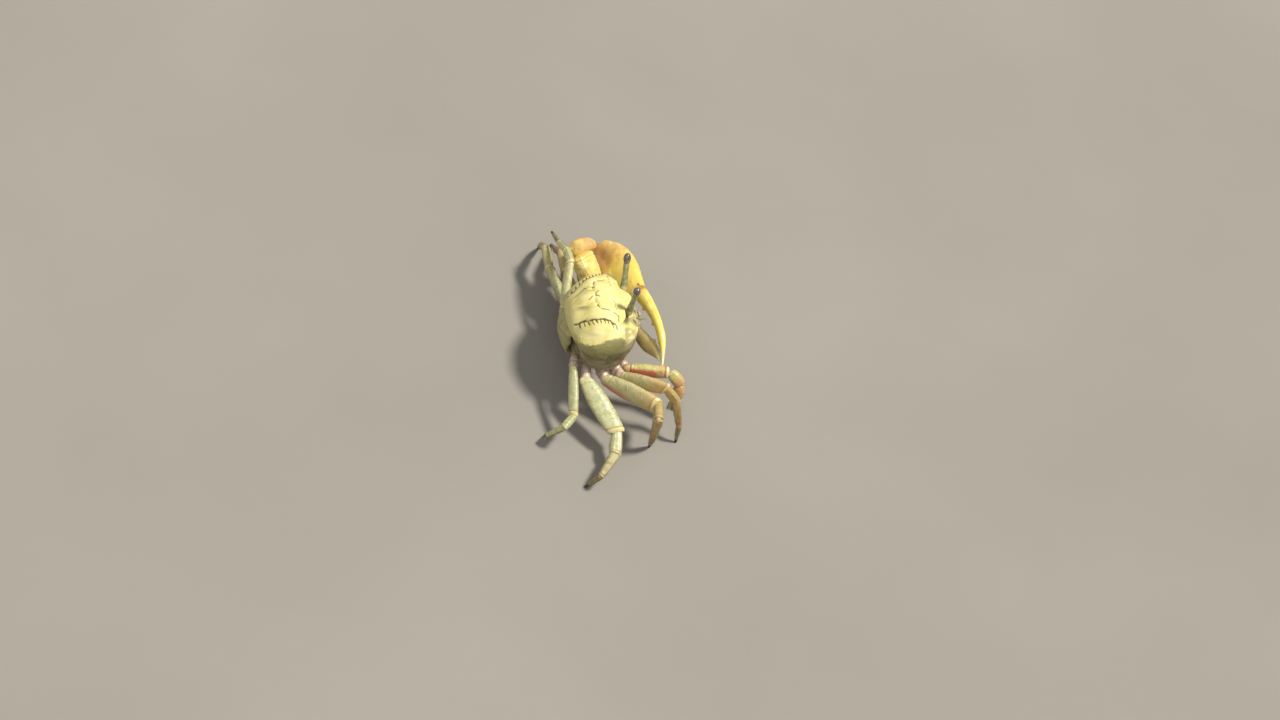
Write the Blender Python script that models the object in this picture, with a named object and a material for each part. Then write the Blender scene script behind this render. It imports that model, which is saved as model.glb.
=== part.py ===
"""Male fiddler crab, life size, standing on its walking legs with the large left claw held across its face.

The crab's own frame has its origin midway between the two front corners of the carapace, +X forward,
+Y to the crab's left and +Z up. In the room the crab faces -Y, its left is +X and the floor is Z = 0.
Lengths are in U, one hundredth of the carapace's breadth, and become metres when a mesh is made.
"""

import math

import bmesh
import bpy
from mathutils import Matrix, Quaternion, Vector

BREADTH = 0.024
U = BREADTH / 100.0
GAP = 0.0003 / U

BODY_HEIGHT = 100.0
BODY_ROLL = math.radians(9.0)

MIDDLE_X = -17.0
HALF_BREADTH = 51.0

LEG_SIDES = 8
FOOT_HALF = 1.15
STEEPEST_MITRE = math.radians(38.0)

CRAB_TO_ROOM = Matrix.Rotation(BODY_ROLL, 3, "Y") @ Matrix.Rotation(math.radians(-90.0), 3, "Z")

# Merus, carpus, propodus and dactyl lengths, and the merus's greatest depth, front leg to rear leg.
LEG_SIZES = {
    1: ((48.0, 20.0, 30.0, 24.0), 17.5),
    2: ((60.0, 23.0, 33.0, 26.0), 21.0),
    3: ((62.0, 23.0, 33.0, 26.0), 20.5),
    4: ((51.0, 17.0, 23.0, 20.0), 11.5),
}

# Where each coxa leaves the breastplate: forward, outward, up.
COXA_STARTS = {
    1: (-4.0, 27.5, -53.5),
    2: (-16.0, 28.5, -54.5),
    3: (-28.0, 27.0, -54.0),
    4: (-38.5, 21.0, -51.0),
}

# Each leg's stance: hip (forward, outward, up), then degrees. Headings are from straight out towards
# the front, for merus, carpus, propodus and dactyl. Lifts are above level, for the first three; the
# dactyl's own lift carries its tip to the floor unless one is given.
STANCE = {
    "right_leg_1": ((5.4, 49.6, -53.0), (58, 80, 28, 36), (13, -52, -62), None),
    "right_leg_2": ((-10.5, 49.0, -58.0), (54, -12, -20, 168), (1, 16, -97), None),
    "right_leg_3": ((-31.5, 50.0, -58.0), (29, -10, -34, -110), (-19, -22, 2), None),
    "right_leg_4": ((-43.5, 39.0, -50.0), (-3, -42, -110, 172), (-25, -4, -54), None),
    "left_leg_1": ((-2.0, 48.0, -57.5), (-11, 0, 8, 8), (-8, 14, -38), None),
    "left_leg_2": ((-15.0, 50.0, -58.0), (-13, -2, 2, 2), (0, 8, -42), None),
    "left_leg_3": ((-30.0, 49.0, -57.0), (-15, -2, 6, 6), (4, 8, -42), None),
    "left_leg_4": ((-42.5, 39.5, -41.0), (12, -4, -10, -12), (30, -12, -26), -16),
}


def clear_scene():
    for old in list(bpy.data.objects):
        bpy.data.objects.remove(old, do_unlink=True)


def principled(name, colour, roughness):
    material = bpy.data.materials.new(name)
    material.use_nodes = True
    shader = material.node_tree.nodes["Principled BSDF"]
    shader.inputs["Base Color"].default_value = (*colour, 1.0)
    shader.inputs["Roughness"].default_value = roughness
    shader.inputs["Metallic"].default_value = 0.0
    return material


def room(point):
    """A point of the crab's frame, in the room's frame."""
    return CRAB_TO_ROOM @ Vector(point) + Vector((0.0, 0.0, BODY_HEIGHT))


def solid(name, rings, material, parent):
    """One closed body skinned over rings of equal length, its first and last ring closed by a face."""
    mesh = bpy.data.meshes.new(name)
    work = bmesh.new()
    layers = [[work.verts.new(point * U) for point in ring] for ring in rings]
    count = len(layers[0])
    for lower, upper in zip(layers, layers[1:]):
        for i in range(count):
            j = (i + 1) % count
            work.faces.new((lower[i], lower[j], upper[j], upper[i]))
    work.faces.new(layers[0])
    work.faces.new(layers[-1])
    bmesh.ops.recalc_face_normals(work, faces=work.faces)
    work.to_mesh(mesh)
    work.free()
    mesh.materials.append(material)
    mesh.shade_smooth()
    mesh.set_sharp_from_angle(angle=math.radians(40.0))
    piece = bpy.data.objects.new(name, mesh)
    bpy.context.scene.collection.objects.link(piece)
    piece.parent = parent
    return piece


def oval(centre, up, out, half_up, half_out, sides=LEG_SIDES, power=2.3):
    """A closed superellipse ring round a centre."""
    ring = []
    for i in range(sides):
        angle = 2.0 * math.pi * i / sides
        c, s = math.cos(angle), math.sin(angle)
        rise = math.copysign(abs(c) ** (2.0 / power), c) * half_up
        reach = math.copysign(abs(s) ** (2.0 / power), s) * half_out
        ring.append(centre + up * rise + out * reach)
    return ring


# ---- carapace ----


def front_edge(side):
    """Forward reach and height of the front margin, at a distance to the side of the middle."""
    lobe = 9.5 * math.exp(-((side / 11.0) ** 4))
    notch = 6.5 * math.exp(-(((side - 41.0) / 6.5) ** 2))
    forward = 3.0 + lobe - notch - 2.0 * (side / HALF_BREADTH) ** 8
    height = 9.3 - 1.7 * math.exp(-((side / 9.0) ** 2)) - 9.3 * (side / HALF_BREADTH) ** 3.5
    return forward, height


def rim_points():
    """The margin of the back's shield on the left side, from the front's middle to the rear's middle."""
    front_steps, side_steps, rear_steps = 12, 9, 5
    points = []
    for i in range(front_steps):
        side = HALF_BREADTH * math.sin(math.pi / 2.0 * i / front_steps) ** 1.15
        forward, height = front_edge(side)
        points.append(Vector((forward, side, height)))
    for i in range(side_steps):
        t = i / side_steps
        side = HALF_BREADTH - 26.0 * t**2.6 + 5.0 * t * (1.0 - t)
        points.append(Vector((-46.0 * t, side, -13.0 * t**0.9)))
    for i in range(rear_steps + 1):
        side = 25.0 * (1.0 - i / rear_steps)
        points.append(Vector((-49.5 + 3.5 * (side / 25.0) ** 3, side, -8.5 - 4.5 * (side / 25.0) ** 2)))
    return points


def mirrored_loop(points):
    """Left-side points, then their mirror images back to the start."""
    mirror = [Vector((p.x, -p.y, p.z)) for p in reversed(points[1:-1])]
    return list(points) + mirror


def girth(angle, front, rear, half_breadth, power):
    """A superellipse's point about the body's middle, at an angle from straight ahead."""
    c, s = math.cos(angle), math.sin(angle)
    reach = front if c > 0 else rear
    radius = ((abs(c) / reach) ** power + (abs(s) / half_breadth) ** power) ** (-1.0 / power)
    return Vector((MIDDLE_X + radius * c, radius * s, 0.0))


def widest(angle):
    """The body's girdle, where the face and the side walls bulge most."""
    point = girth(angle, 39.5, 33.0, 54.0, 2.35)
    point.z = -15.5 + 4.5 * math.cos(angle)
    return point


def lower_edge(angle):
    """The lower edge of the side walls, over the legs."""
    point = girth(angle, 31.0, 24.0, 45.0, 2.3)
    c = math.cos(angle)
    point.z = -47.0 + (2.0 if c > 0 else 17.0) * c * c
    return point


def eye_socket(point):
    """How much of the front margin's point lies over an eye socket, from 0 to 1."""
    if point.x < -8.0:
        return 0.0
    return max(0.0, 1.0 - ((abs(point.y) - 30.0) / 19.0) ** 4)


def make_carapace(material, parent):
    """The shield of the back with the face and the side walls, shaped downwards from the crown."""
    rim = mirrored_loop(rim_points())
    angles = [math.atan2(p.y, p.x - MIDDLE_X) for p in rim]
    crown = Vector((MIDDLE_X, 0.0, 14.5))
    rings = []
    for share in (0.12, 0.42, 0.68, 0.87, 0.97):
        ring = []
        for p in rim:
            point = crown.lerp(p, share)
            point.z = p.z + (crown.z - p.z) * (1.0 - share**2.5)
            swelling = math.exp(-(((abs(point.y) - 36.0) / 11.0) ** 2) - ((point.x + 22.0) / 15.0) ** 2)
            point.z += 2.5 * swelling
            ring.append(point)
        rings.append(ring)
    rings.append(rim)
    girdle = [widest(a) for a in angles]
    hem = [lower_edge(a) for a in angles]
    for share in (0.3, 0.75):
        ring = []
        for p, g in zip(rim, girdle):
            socket = eye_socket(p)
            point = p.lerp(g, share)
            point.x -= 7.0 * socket * (1.0 if share < 0.5 else 0.6)
            ring.append(point)
        rings.append(ring)
    rings.append(girdle)
    for share in (0.35, 0.7):
        ring = []
        for g, h in zip(girdle, hem):
            point = g.lerp(h, share**1.8)
            point.z = g.z + (h.z - g.z) * share
            ring.append(point)
        rings.append(ring)
    rings.append(hem)
    for share, height in ((0.84, -44.0), (0.3, -42.0)):
        ring = []
        for h in hem:
            point = Vector((MIDDLE_X, 0.0, height)).lerp(h, share)
            point.z = max(height, h.z + 2.0)
            ring.append(point)
        rings.append(ring)
    return solid("carapace", [[room(p) for p in ring] for ring in rings], material, parent)


def make_thorax(material, parent):
    """The breastplate between the legs' bases, with the inner wall that rises behind it to the shell."""
    rings = []
    for depth, spread in ((0.0, 0.8), (0.12, 0.96), (0.7, 1.0), (0.92, 0.97), (1.0, 0.8)):
        ring = []
        for i in range(24):
            angle = 2.0 * math.pi * i / 24
            top = lower_edge(angle).z - 2.6 + (1.0 if math.cos(angle) > 0 else 0.0)
            point = girth(angle, 28.0, 20.0 + 5.5 * depth, 24.0 + 2.0 * depth, 2.6)
            middle = Vector((MIDDLE_X, 0.0, 0.0))
            point = middle + (point - middle) * spread
            point.z = top + (-54.5 - top) * depth
            ring.append(room(point))
        rings.append(ring)
    return solid("thorax", rings, material, parent)


def make_abdomen(material, parent):
    """The narrow tail of a male, folded down behind the carapace and forward under the breastplate."""
    path = (
        (-51.6, -12.4, 20.0, 1.5),
        (-54.0, -19.0, 21.5, 1.9),
        (-52.0, -29.0, 20.5, 4.6),
        (-49.5, -38.0, 17.5, 5.4),
        (-47.2, -47.0, 14.5, 3.4),
        (-44.0, -55.0, 12.0, 2.0),
        (-36.0, -57.8, 9.5, 1.9),
        (-20.0, -58.0, 7.5, 1.9),
        (-4.0, -57.8, 4.0, 1.9),
    )
    rings = []
    for i, (forward, height, half_breadth, half_deep) in enumerate(path):
        before = path[max(i - 1, 0)]
        after = path[min(i + 1, len(path) - 1)]
        run = Vector((after[0] - before[0], 0.0, after[1] - before[1])).normalized()
        up = Vector((-run.z, 0.0, run.x))
        centre = Vector((forward, 0.0, height))
        ring = oval(centre, up, Vector((0.0, 1.0, 0.0)), half_deep, half_breadth, 12, 3.0)
        rings.append([room(p) for p in ring])
    return solid("abdomen", rings, material, parent)


# ---- eyes and feelers ----


def make_eye(side, sign, direction, stalk_material, eye_material, parent):
    """A long thin stalk that stands up beside the front lobe, with the eye as an oval cap at its end."""
    foot = Vector((8.7, 17.6 * sign, 4.5))
    run = Vector((direction[0], direction[1] * sign, direction[2])).normalized()
    across = run.orthogonal().normalized()
    out = run.cross(across)
    stalk_length, eye_length = 25.0, 10.5
    rings = []
    for along, half in ((0.0, 2.4), (2.0, 3.3), (6.0, 3.1), (15.0, 2.6), (22.0, 2.9), (24.2, 2.9), (25.0, 2.2)):
        rings.append([room(p) for p in oval(foot + run * along, across, out, half, half, 10, 2.0)])
    solid(side + "_eyestalk", rings, stalk_material, parent)
    rings = []
    steps = 8
    for i in range(steps + 1):
        t = i / steps
        half = 3.7 * math.sqrt(max(0.02, 1.0 - (2.0 * t - 1.0) ** 2)) ** 0.8
        centre = foot + run * (stalk_length + GAP + eye_length * t)
        rings.append([room(p) for p in oval(centre, across, out, half, half, 12, 2.0)])
    solid(side + "_eye", rings, eye_material, parent)


def make_antenna(side, sign, material, parent):
    """A short feeler that springs from the inner corner of the eye socket."""
    foot = Vector((18.5, 20.0 * sign, -1.5))
    run = Vector((0.72, 0.62 * sign, 0.3)).normalized()
    across = run.orthogonal().normalized()
    out = run.cross(across)
    rings = []
    for along, half in ((0.0, 1.5), (1.5, 1.9), (4.0, 1.7), (6.5, 1.1), (10.0, 1.05)):
        rings.append([room(p) for p in oval(foot + run * along, across, out, half, half, 8, 2.0)])
    solid(side + "_antenna", rings, material, parent)


# ---- limbs ----


def heading_vector(sign, heading, lift):
    """A unit vector of the room's frame. The heading is from straight out to the side towards the front."""
    h, v = math.radians(heading), math.radians(lift)
    return Vector((sign * math.cos(h) * math.cos(v), -math.sin(h) * math.cos(v), math.sin(v)))


def mitre(before, after, half_depth):
    """The slants of two ends that meet at a bend, and how far both draw back to clear each other."""
    half_bend = 0.5 * before.angle(after)
    slant = min(half_bend, STEEPEST_MITRE)
    hinge = before.cross(after)
    if hinge.length < 1e-6:
        return before, after, 0.5 * GAP
    first = Quaternion(hinge, slant) @ before
    second = Quaternion(hinge, -slant) @ after
    back = 0.55 * GAP / math.cos(slant) + 0.9 * half_depth * math.tan(half_bend - slant)
    return first, second, back


def smooth_step(low, high, value):
    t = min(1.0, max(0.0, (value - low) / (high - low)))
    return t * t * (3.0 - 2.0 * t)


def coxa_swell(t):
    return 0.85 + 0.15 * math.sin(math.pi * t)


def merus_swell(t):
    return 0.62 + 0.38 * math.sin(math.pi / 2.0 * min(1.0, t / 0.5)) - 0.14 * smooth_step(0.62, 1.0, t)


def carpus_swell(t):
    return 0.7 + 0.3 * math.sin(math.pi * 0.75 * t)


def propodus_swell(t):
    return 1.0 - 0.32 * t


def round_end(t):
    """Draws the first and last rings in, for an end with a soft edge."""
    edge = min(t, 1.0 - t)
    return 0.74 + 0.26 * math.sqrt(edge / 0.07) if edge < 0.07 else 1.0


def slanted(ring, centre, run, plane, share):
    """Slides a ring's points along the piece until the ring lies a share of the way to the mitre's plane."""
    return [p - run * (share * (p - centre).dot(plane) / run.dot(plane)) for p in ring]


def podomere(name, start, end, dorsal, depth, width, swell, material, parent, trims, planes):
    """One leg piece: a flattened barrel from joint to joint, deeper than it is wide, its ends mitred."""
    run = (end - start).normalized()
    up = (dorsal - run * dorsal.dot(run)).normalized()
    out = run.cross(up)
    first, last = start + run * trims[0], end - run * trims[1]
    rings = []
    for t in (0.0, 0.06, 0.2, 0.42, 0.64, 0.84, 0.95, 1.0):
        size = swell(t) * round_end(t)
        slim = (0.5 + 0.5 * swell(t)) * round_end(t)
        centre = first.lerp(last, t)
        ring = oval(centre, up, out, 0.5 * depth * size, 0.5 * width * slim)
        plane = planes[0] if t < 0.5 else planes[1]
        rings.append(slanted(ring, centre, run, plane, abs(2.0 * t - 1.0)))
    return solid(name, rings, material, parent)


def dactyl(name, start, end, dorsal, depth, width, material, parent, trim, plane, on_floor):
    """A tapered toe. One that stands ends in a small flat that lies on the floor."""
    run = (end - start).normalized()
    up = (dorsal - run * dorsal.dot(run)).normalized()
    out = run.cross(up)
    first = start + run * trim
    rings = []
    for t in (0.0, 0.06, 0.25, 0.5, 0.75, 0.9, 1.0):
        thin = FOOT_HALF / (0.5 * depth)
        size = (thin + (1.0 - thin) * (1.0 - t) ** 0.9) * min(1.0, round_end(min(t, 0.5)))
        thin = FOOT_HALF / (0.5 * width)
        slim = (thin + (1.0 - thin) * (1.0 - t) ** 0.9) * min(1.0, round_end(min(t, 0.5)))
        centre = first.lerp(end, t)
        ring = oval(centre, up, out, 0.5 * depth * size, 0.5 * width * slim)
        rings.append(slanted(ring, centre, run, plane, (1.0 - t) ** 2))
    if on_floor:
        rings[-1] = [p - run * (p.z / run.z) for p in rings[-1]]
    return solid(name, rings, material, parent)


def make_leg(name, materials, parent):
    hip, headings, lifts, toe_lift = STANCE[name]
    number = int(name[-1])
    sign = 1.0 if name.startswith("left") else -1.0
    lengths, depth = LEG_SIZES[number]
    coxa_start = room((COXA_STARTS[number][0], sign * COXA_STARTS[number][1], COXA_STARTS[number][2]))
    joints = [room((hip[0], sign * hip[1], hip[2]))]
    for length, heading, lift in zip(lengths, headings, lifts):
        joints.append(joints[-1] + heading_vector(sign, heading, lift) * length)
    if toe_lift is None:
        toe_lift = -math.degrees(math.asin(joints[-1].z / lengths[3]))
    joints.append(joints[-1] + heading_vector(sign, headings[3], toe_lift) * lengths[3])
    runs = [(b - a).normalized() for a, b in zip([coxa_start] + joints, joints)]
    fold = (joints[4] - joints[1]).normalized()
    hinge = runs[1].cross(fold).normalized()
    deep = {"coxa": 10.5, "merus": depth, "carpus": 0.62 * depth, "propodus": 0.5 * depth, "dactyl": 0.34 * depth}
    if number == 4:
        deep.update(coxa=9.0, carpus=0.8 * depth, propodus=0.62 * depth, dactyl=0.45 * depth)
    wide = {"coxa": 9.0, "merus": 0.52 * depth, "carpus": 0.45 * depth, "propodus": 0.34 * depth, "dactyl": 0.26 * depth}
    if number == 4:
        wide.update(coxa=8.5, merus=0.7 * depth, carpus=0.62 * depth, propodus=0.5 * depth, dactyl=0.36 * depth)
    parts = ("coxa", "merus", "carpus", "propodus", "dactyl")
    swells = dict(zip(parts, (coxa_swell, merus_swell, carpus_swell, propodus_swell, lambda t: 1.0)))
    ends = [coxa_start] + joints
    trims, starts, stops = [0.5 * GAP], [runs[0]], []
    for i in range(4):
        half = 0.25 * (deep[parts[i]] * swells[parts[i]](1.0) + deep[parts[i + 1]] * swells[parts[i + 1]](0.0))
        stop, start, back = mitre(runs[i], runs[i + 1], half)
        stops.append(stop)
        starts.append(start)
        trims.append(back)
    for i, part in enumerate(parts[:4]):
        up = Vector((0.0, 0.0, 1.0)) if part == "coxa" else runs[i].cross(hinge)
        podomere(
            f"{name}_{part}", ends[i], ends[i + 1], up, deep[part], wide[part], swells[part],
            materials[part], parent, (trims[i], trims[i + 1]), (starts[i], stops[i]),
        )
    up = runs[4].cross(hinge)
    standing = joints[4].z < 0.01
    dactyl(
        f"{name}_dactyl", ends[4], ends[5], up, deep["dactyl"], wide["dactyl"],
        materials["dactyl"], parent, trims[4], starts[4], standing,
    )


# ---- large left claw ----

CLAW_ELBOW = Vector((-22.8, 97.4, -8.6))
CLAW_WRIST = Vector((-0.3, 121.8, -25.0))
CLAW_RUN = Vector((0.29, -0.945, -0.15)).normalized()
CLAW_TALL = Vector((0.5, 0.0, 0.866))
CLAW_UP = (CLAW_TALL - CLAW_RUN * CLAW_TALL.dot(CLAW_RUN)).normalized()
CLAW_OUT = CLAW_RUN.cross(CLAW_UP)
HINGE_AT = 84.0


def palm_top(along):
    """Upper outline of the palm and, past the finger's hinge, of the fixed finger."""
    palm = 8.0 + 25.0 * math.sin(math.pi / 2.0 * min(1.0, along / 46.0)) ** 0.8
    palm -= 5.0 * smooth_step(50.0, 84.0, along)
    finger = -3.0 + 9.0 * smooth_step(96.0, 150.0, along) - 5.5 * smooth_step(150.0, 166.0, along)
    return palm + (finger - palm) * smooth_step(HINGE_AT - 1.6, HINGE_AT + 0.4, along)


def palm_bottom(along):
    palm = -8.0 - 7.0 * math.sin(math.pi / 2.0 * min(1.0, along / 40.0))
    return palm + 3.0 * smooth_step(90.0, 122.0, along) + 12.0 * smooth_step(124.0, 166.0, along) ** 1.3


def palm_thickness(along):
    palm = 8.0 + 13.0 * math.sin(math.pi * min(1.0, along / 102.0))
    return palm + (8.5 - palm) * smooth_step(70.0, 104.0, along) - 5.5 * smooth_step(130.0, 166.0, along)


def claw_point(along, height, out=0.0):
    return CLAW_WRIST + CLAW_RUN * along + CLAW_UP * height + CLAW_OUT * out


def make_manus(material, parent):
    """The palm with its fixed lower finger."""
    stations = (2.5, 4.0, 8.0, 16.0, 27.0, 40.0, 54.0, 68.0, 77.0)
    stations += (HINGE_AT - 1.6, HINGE_AT - 0.9, HINGE_AT - 0.3, HINGE_AT + 0.4)
    stations += (94.0, 104.0, 116.0, 128.0, 140.0, 150.0, 156.0, 160.0, 161.5)
    rings = []
    for along in stations:
        top, bottom = palm_top(along), palm_bottom(along)
        half = 0.5 * (top - bottom)
        thick = 0.5 * palm_thickness(along)
        if along < 8.0:
            half *= 0.45 + 0.55 * (along / 8.0)
            thick *= 0.45 + 0.55 * (along / 8.0)
        centre = claw_point(along, 0.5 * (top + bottom), -0.22 * thick)
        rings.append([room(p) for p in oval(centre, CLAW_UP, CLAW_OUT, half, thick, 16, 2.2)])
    return solid("claw_manus", rings, material, parent)


def finger_line(t):
    """Middle of the moving finger, from its hinge on the palm's upper corner to its hooked tip."""
    along = HINGE_AT + 2.2 + 83.8 * t - 2.0 * t**4
    height = 20.5 + 5.0 * math.sin(math.pi * 0.62 * t) - 25.5 * t**2.6
    return along, height


def make_claw_dactyl(material, parent):
    rings = []
    for t in (0.0, 0.03, 0.09, 0.18, 0.3, 0.42, 0.54, 0.66, 0.78, 0.88, 0.95, 1.0):
        along, height = finger_line(t)
        ahead, behind = finger_line(min(1.0, t + 0.02)), finger_line(max(0.0, t - 0.02))
        run = (claw_point(*ahead) - claw_point(*behind)).normalized()
        up = CLAW_OUT.cross(run)
        half = 6.8 * (1.0 - 0.35 * smooth_step(0.05, 0.6, t)) * (1.0 - 0.72 * smooth_step(0.62, 1.0, t))
        half *= 0.68 + 0.32 * min(1.0, t / 0.08)
        thick = half * (0.72 + 0.15 * t)
        centre = claw_point(along, height)
        rings.append([room(p) for p in oval(centre, up, CLAW_OUT, half, thick, 12, 2.2)])
    return solid("claw_dactyl", rings, material, parent)


def arm_piece(name, start, end, up, depths, widths, material, parent, sides=14):
    """A thick limb piece of the crab's frame, with its depth and width listed from end to end."""
    run = (end - start).normalized()
    up = (up - run * up.dot(run)).normalized()
    out = run.cross(up)
    rings = []
    steps = len(depths) - 1
    for i, (deep, wide) in enumerate(zip(depths, widths)):
        t = 0.5 - 0.5 * math.cos(math.pi * i / steps)
        ring = oval(start.lerp(end, t), up, out, 0.5 * deep, 0.5 * wide, sides, 2.4)
        rings.append([room(p) for p in ring])
    return solid(name, rings, material, parent)


def make_claw(materials, parent):
    upright = Vector((0.3, 0.0, 1.0))
    arm_start = Vector((8.2, 55.0, -57.0))
    base_start = Vector((8.4, 29.5, -55.0))
    arm_run = (CLAW_ELBOW - arm_start).normalized()
    arm_piece(
        "claw_coxa", base_start, arm_start - (arm_start - base_start).normalized() * 3.4,
        upright, (8.0, 11.5, 12.5, 11.5, 8.0), (8.0, 11.5, 12.0, 11.0, 8.0), materials["coxa"], parent, 12,
    )
    arm_piece(
        "claw_merus", arm_start + arm_run * 3.4, CLAW_ELBOW - arm_run * 13.5,
        Vector((-0.8, 0.0, 0.6)), (8.0, 10.0, 12.0, 16.0, 22.5, 24.5, 16.0), (8.0, 11.0, 15.0, 18.5, 20.0, 18.5, 13.0),
        materials["merus"], parent,
    )
    wrist_run = (CLAW_WRIST - CLAW_ELBOW).normalized()
    arm_piece(
        "claw_carpus", CLAW_ELBOW - wrist_run * 4.5, CLAW_WRIST - wrist_run * 12.5,
        CLAW_UP, (12.0, 18.5, 22.5, 21.5, 16.5, 9.0), (11.0, 16.5, 19.5, 18.5, 13.5, 7.0),
        materials["carpus"], parent,
    )
    make_manus(materials["manus"], parent)
    make_claw_dactyl(materials["finger"], parent)


# ---- small right claw ----


def make_feeder(materials, parent):
    """The small claw, folded forward and down, which a male feeds with."""
    hip = Vector((12.4, -37.5, -53.0))
    elbow = hip + Vector((43.0, -12.0, 4.5))
    wrist = elbow + Vector((10.0, -6.0, -9.5))
    palm_end = wrist + Vector((-1.5, -1.5, -17.0))
    base = Vector((7.5, -27.5, -54.0))
    upright = Vector((0.0, 0.0, 1.0))

    def limits(start, end, trim_a, trim_b):
        run = (end - start).normalized()
        return start + run * trim_a, end - run * trim_b

    a, b = limits(base, hip, 0.6, 2.6)
    arm_piece("feeder_coxa", a, b, upright, (8.0, 10.5, 10.5, 7.5), (7.0, 9.0, 9.0, 7.0), materials["coxa"], parent, 10)
    a, b = limits(hip, elbow, 3.2, 2.8)
    arm_piece(
        "feeder_merus", a, b, upright, (7.0, 11.5, 13.5, 13.5, 12.5, 8.0), (6.0, 9.0, 10.5, 10.5, 10.0, 6.5),
        materials["merus"], parent, 12,
    )
    a, b = limits(elbow, wrist, 2.0, 2.2)
    arm_piece(
        "feeder_carpus", a, b, Vector((1.0, 0.0, 1.0)), (8.0, 12.0, 12.5, 8.5), (7.0, 9.5, 10.0, 7.0),
        materials["carpus"], parent, 12,
    )
    a, b = limits(wrist, palm_end, 3.6, 0.0)
    fixed_tip = palm_end + Vector((-5.5, 3.0, -17.5))
    rings = []
    run = (b - a).normalized()
    up = (Vector((1.0, -0.3, 0.0)) - run * run.dot(Vector((1.0, -0.3, 0.0)))).normalized()
    out = run.cross(up)
    for t, deep, wide, lean in ((0.0, 4.0, 3.4, 0.0), (0.25, 5.6, 4.4, 0.0), (0.6, 6.2, 4.6, 0.0), (0.85, 5.6, 4.2, 0.0)):
        rings.append([room(p) for p in oval(a.lerp(b, t) + up * lean, up, out, deep, wide, 12, 2.2)])
    for t, deep, wide in ((0.05, 2.6, 3.2), (0.3, 2.2, 2.8), (0.65, 1.8, 2.4), (1.0, 1.2, 1.4)):
        centre = (b - up * 2.9).lerp(fixed_tip, t)
        rings.append([room(p) for p in oval(centre, up, out, deep, wide, 12, 2.2)])
    solid("feeder_manus", rings, materials["manus"], parent)
    rings = []
    moving_tip = fixed_tip + up * 3.4
    hinge = b + up * 3.0 + run * 0.6
    for t, deep, wide in ((0.0, 1.7, 2.2), (0.08, 2.3, 3.0), (0.35, 2.1, 2.7), (0.7, 1.7, 2.3), (1.0, 1.15, 1.3)):
        centre = hinge.lerp(moving_tip, t) + up * 0.8 * math.sin(math.pi * t)
        rings.append([room(p) for p in oval(centre, up, out, deep, wide, 12, 2.2)])
    solid("feeder_dactyl", rings, materials["finger"], parent)


def centre_on_floor(parent):
    """Slides the whole crab so that its bounding box is centred over the origin."""
    bpy.context.view_layer.update()
    corners = [v.co for piece in parent.children for v in piece.data.vertices]
    for axis in (0, 1):
        low, high = min(c[axis] for c in corners), max(c[axis] for c in corners)
        parent.location[axis] = -0.5 * (low + high)
    bpy.context.view_layer.update()


def build():
    clear_scene()
    crab = bpy.data.objects.new("crab_placement", None)
    bpy.context.scene.collection.objects.link(crab)

    shell = principled("carapace_shell", (0.62, 0.6, 0.24), 0.45)
    belly = principled("belly_shell", (0.5, 0.42, 0.3), 0.5)
    stalk = principled("eyestalk_shell", (0.2, 0.25, 0.14), 0.4)
    cornea = principled("cornea", (0.05, 0.04, 0.03), 0.12)
    feeler = principled("feeler", (0.4, 0.38, 0.22), 0.5)
    coxa = principled("coxa_shell", (0.45, 0.27, 0.22), 0.35)
    leg = principled("leg_shell", (0.4, 0.43, 0.2), 0.45)
    toe = principled("toe_shell", (0.3, 0.22, 0.12), 0.55)
    arm = principled("claw_arm_shell", (0.75, 0.68, 0.22), 0.4)
    palm = principled("claw_palm_shell", (0.78, 0.42, 0.1), 0.38)
    finger = principled("claw_finger_shell", (0.85, 0.6, 0.1), 0.32)
    red_arm = principled("feeder_arm_shell", (0.6, 0.2, 0.13), 0.4)

    make_carapace(shell, crab)
    make_thorax(belly, crab)
    make_abdomen(belly, crab)
    make_eye("left", 1.0, (0.07, 0.44, 0.9), stalk, cornea, crab)
    make_eye("right", -1.0, (0.05, 0.19, 0.98), stalk, cornea, crab)
    make_antenna("left", 1.0, feeler, crab)
    make_antenna("right", -1.0, feeler, crab)
    leg_materials = {"coxa": coxa, "merus": leg, "carpus": leg, "propodus": leg, "dactyl": toe}
    for name in STANCE:
        make_leg(name, leg_materials, crab)
    make_claw({"coxa": coxa, "merus": arm, "carpus": palm, "manus": palm, "finger": finger}, crab)
    make_feeder({"coxa": coxa, "merus": red_arm, "carpus": arm, "manus": red_arm, "finger": toe}, crab)
    centre_on_floor(crab)


build()
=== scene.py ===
"""Male fiddler crab at life size, standing on its walking legs with its large left claw across its face.

The crab's own frame: X forward, Y to its left, Z up, from midway between the front corners of the back.
Shapes are in units of a hundredth of the back's breadth until they are placed in the room.
"""

import math

import bpy
import numpy as np
from mathutils import Matrix, Vector


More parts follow.
